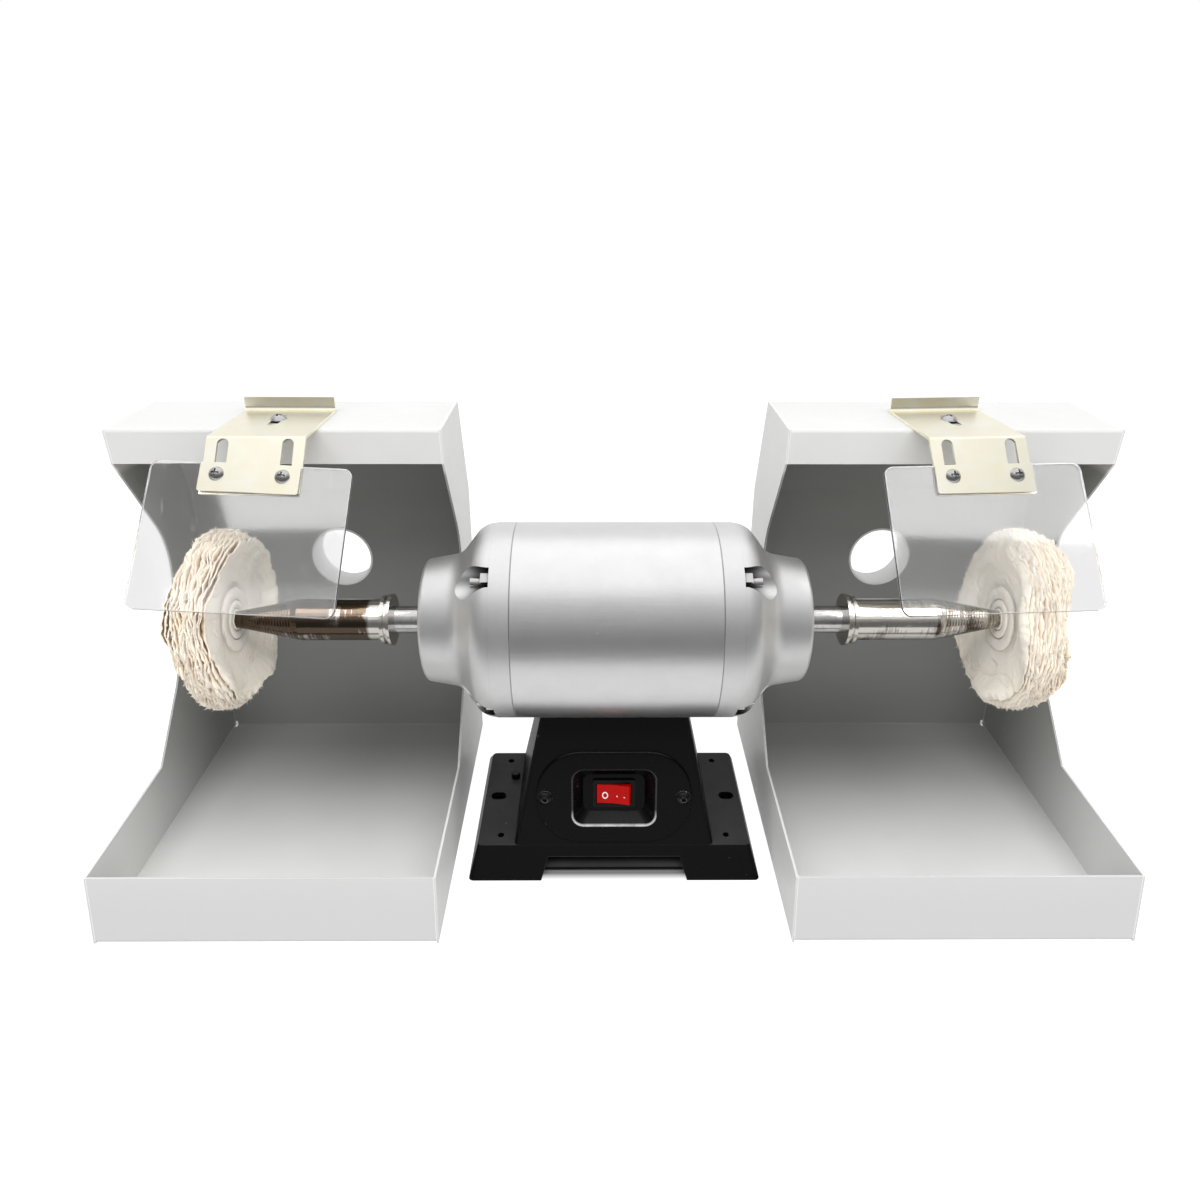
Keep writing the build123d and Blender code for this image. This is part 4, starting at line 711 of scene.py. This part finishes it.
    def hub(self):
        """The stitched centre: pressed cloth discs with sewn rings and a gap round the edge, with painted
        shade in the rings and the gap.
        """
        half = HUB_HALF + HUB_PROUD
        outline = [(radius_mm * MM, half * height, depth) for radius_mm, height, depth in HUB_PROFILE]
        outline += [(radius, -height, depth) for radius, height, depth in reversed(outline)]
        vertices, faces, shade_levels = [], [], []
        for turn in range(HUB_TURNS):
            angle = 2 * math.pi * turn / HUB_TURNS
            for radius, across, depth in outline:
                wobble = self.wave(angle, radius * 200, 5, 2.0) * HUB_WOBBLE * MM
                vertices.append(self.placed(across + wobble, radius, angle))
                shade_levels.append(depth)
        count = len(outline)
        for turn in range(HUB_TURNS):
            here, after = turn * count, (turn + 1) % HUB_TURNS * count
            for row in range(count):
                beyond = (row + 1) % count
                faces.append((here + row, here + beyond, after + beyond, after + row))
        piece = new_piece("calico_hub_" + self.name, vertices, faces, "mop_centre")
        set_painted_shade(piece, shade_levels)
        smooth(piece)
        return piece

    def build(self):
        for piece, replaced, slot in ((self.plies(), "mop_" + self.name, "mop_cotton"),
                                      (self.fuzz(), "mop_" + self.name, "mop_cotton"),
                                      (self.hub(), "mop_hub_" + self.name, "mop_centre")):
            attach(piece, "rotor")
            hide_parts(replaced)


# ---------------------------------------------------------------- studio


def camera():
    pitch, yaw, roll = (math.radians(a) for a in (CAMERA_PITCH, CAMERA_YAW, CAMERA_ROLL))
    ahead = Vector((math.sin(yaw) * math.cos(pitch), math.cos(yaw) * math.cos(pitch), -math.sin(pitch)))
    right = Vector((math.cos(yaw), -math.sin(yaw), 0))
    up = right.cross(ahead)
    turned_right = right * math.cos(roll) + up * math.sin(roll)
    turned_up = up * math.cos(roll) - right * math.sin(roll)
    data = bpy.data.cameras.new("camera")
    data.lens = CAMERA_LENS
    data.sensor_width = CAMERA_SENSOR
    data.clip_start = 0.01
    thing = bpy.data.objects.new("camera", data)
    axes = Matrix((turned_right, turned_up, -ahead)).transposed().to_4x4()
    thing.matrix_world = Matrix.Translation(CAMERA_AT) @ axes
    bpy.context.scene.collection.objects.link(thing)
    bpy.context.scene.camera = thing


def overhead_light(name, front, back, radiance, x=0.0, drop=0.0):
    """A rectangular soft light that faces straight down on the bench."""
    data = bpy.data.lights.new(name, "AREA")
    data.shape = "RECTANGLE"
    data.size = 2 * SOFTBOX_HALF_X
    data.size_y = back - front
    data.energy = radiance * math.pi * data.size * data.size_y
    thing = bpy.data.objects.new(name, data)
    thing.location = (x, (back + front) / 2, SOFTBOX_HEIGHT - drop)
    bpy.context.scene.collection.objects.link(thing)
    return thing


def lights():
    """A large softbox for the metal, a key in front for paint and cloth, and a sheen on the clear sheets."""
    softbox = overhead_light("softbox", SOFTBOX_FRONT, SOFTBOX_BACK, SOFTBOX_SHOWN)
    softbox.visible_diffuse = False
    key = overhead_light("key", KEY_FRONT, KEY_BACK, KEY_RADIANCE)
    key.visible_glossy = False
    sheen = overhead_light("sheen", SHEEN_FRONT, SOFTBOX_BACK, SHEEN_RADIANCE, SHEEN_X, SHEEN_DROP)
    sheen.visible_diffuse = False
    shows_sheen = bpy.data.collections.new("shows_sheen")
    for name in SHOWS_SHEEN:
        shows_sheen.objects.link(nodes[name])
    sheen.light_linking.receiver_collection = shows_sheen


def shaded_patches():
    """Corners and level of each patch of bench in deep shade: under the base and behind the hoods."""
    yield *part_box("base_shell"), 0.0
    for side, outwards in (("left", -SHADE_BEYOND), ("right", SHADE_BEYOND)):
        low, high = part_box("hood_wrapper_" + side)
        near = Vector((low.x + min(outwards, 0), high.y - SHADE_BEHIND, 0))
        yield near, high + Vector((max(outwards, 0), 0, 0)), SHADE_LEVEL


def clear_of(made, low, high, level):
    """The level inside a patch of bench, rising to 1 at its edges."""
    middle, half = (low + high) / 2, (high - low) / 2
    beyond = []
    for i, axis in enumerate("XY"):
        away = made.maths("ABSOLUTE", made.maths("SUBTRACT", made.axis(axis), middle[i]))
        beyond.append(made.maths("SUBTRACT", away, half[i]))
    return made.spread(made.maths("MAXIMUM", *beyond), -SHADE_FADE, 0.0, level)


def bench_material():
    """White bench: white to the camera but for the shaded patches, and a soft light table to the object."""
    made = Shader("bench_white")
    rays = made.add("LightPath").outputs
    metal = rays["Is Glossy Ray"]
    looked_at = made.maths("MAXIMUM", rays["Is Transmission Ray"], metal)
    seen = made.maths("MAXIMUM", rays["Is Camera Ray"], looked_at)
    matt = made.add("BsdfDiffuse", {"Color": made.mix(seen, grey(0.6), grey(0.2))}).outputs["BSDF"]
    shown = made.spread(metal, 0.0, 1.0, BENCH_SHOWN, BENCH_IN_METAL)
    strength = made.spread(seen, 0.0, 1.0, BENCH_GLOW, shown)
    for low, high, level in shaded_patches():
        strength = made.maths("MULTIPLY", strength, clear_of(made, low, high, level))
    glow = made.add("Emission", {"Color": grey(1.0), "Strength": strength}).outputs["Emission"]
    both = made.add("AddShader", {0: matt, 1: glow}).outputs["Shader"]
    made.feed(made.tree.nodes["Material Output"].inputs["Surface"], both)
    return made.material


def floor():
    corners = [(-FLOOR_HALF_X, FLOOR_FRONT), (FLOOR_HALF_X, FLOOR_FRONT),
               (FLOOR_HALF_X, FLOOR_BACK), (-FLOOR_HALF_X, FLOOR_BACK)]
    mesh = bpy.data.meshes.new("bench")
    mesh.from_pydata([(x, y, -FLOOR_BELOW) for x, y in corners], [], [(0, 1, 2, 3)])
    mesh.materials.append(bench_material())
    thing = bpy.data.objects.new("bench", mesh)
    bpy.context.scene.collection.objects.link(thing)


def world():
    """White for the camera, a dim room in front of the object for the metal, and white walls for the rest."""
    room = bpy.data.worlds.new("room")
    room.use_nodes = True
    made = Tree(room.node_tree)
    rays = made.add("LightPath").outputs
    towards = made.add("SeparateXYZ", {"Vector": made.add("TexCoord").outputs["Generated"]}).outputs
    overhead = made.spread(towards["Z"], *ROOM_RISE, ROOM_LOW, ROOM_HIGH)
    behind = made.spread(towards["Y"], *ROOM_BEHIND_FROM, 0.0, ROOM_BEHIND)
    in_metal = made.maths("MAXIMUM", overhead, behind)
    backdrop = made.spread(towards["Y"], *BACKDROP_FROM, ROOM_AMBIENT, BACKDROP_LIGHT)
    walls = made.spread(made.maths("ABSOLUTE", towards["X"]), *SIDES_FROM, 0.0, SIDE_LIGHT)
    on_paint = made.maths("MAXIMUM", backdrop, walls)
    light = made.spread(rays["Is Glossy Ray"], 0.0, 1.0, on_paint, in_metal)
    seen = made.maths("MAXIMUM", rays["Is Camera Ray"], rays["Is Transmission Ray"])
    background = room.node_tree.nodes["Background"]
    background.inputs["Color"].default_value = grey(1.0)
    made.feed(background.inputs["Strength"], made.spread(seen, 0.0, 1.0, light, 1.0))
    bpy.context.scene.world = room


finish_nodes()
Mop(-1, crumple=4.2, curls=5.5, folds=8.5).build()
Mop(1, crumple=3.0, curls=2.8, folds=7.5).build()
floor()
lights()
world()
camera()
bpy.context.scene.view_settings.view_transform = "Standard"
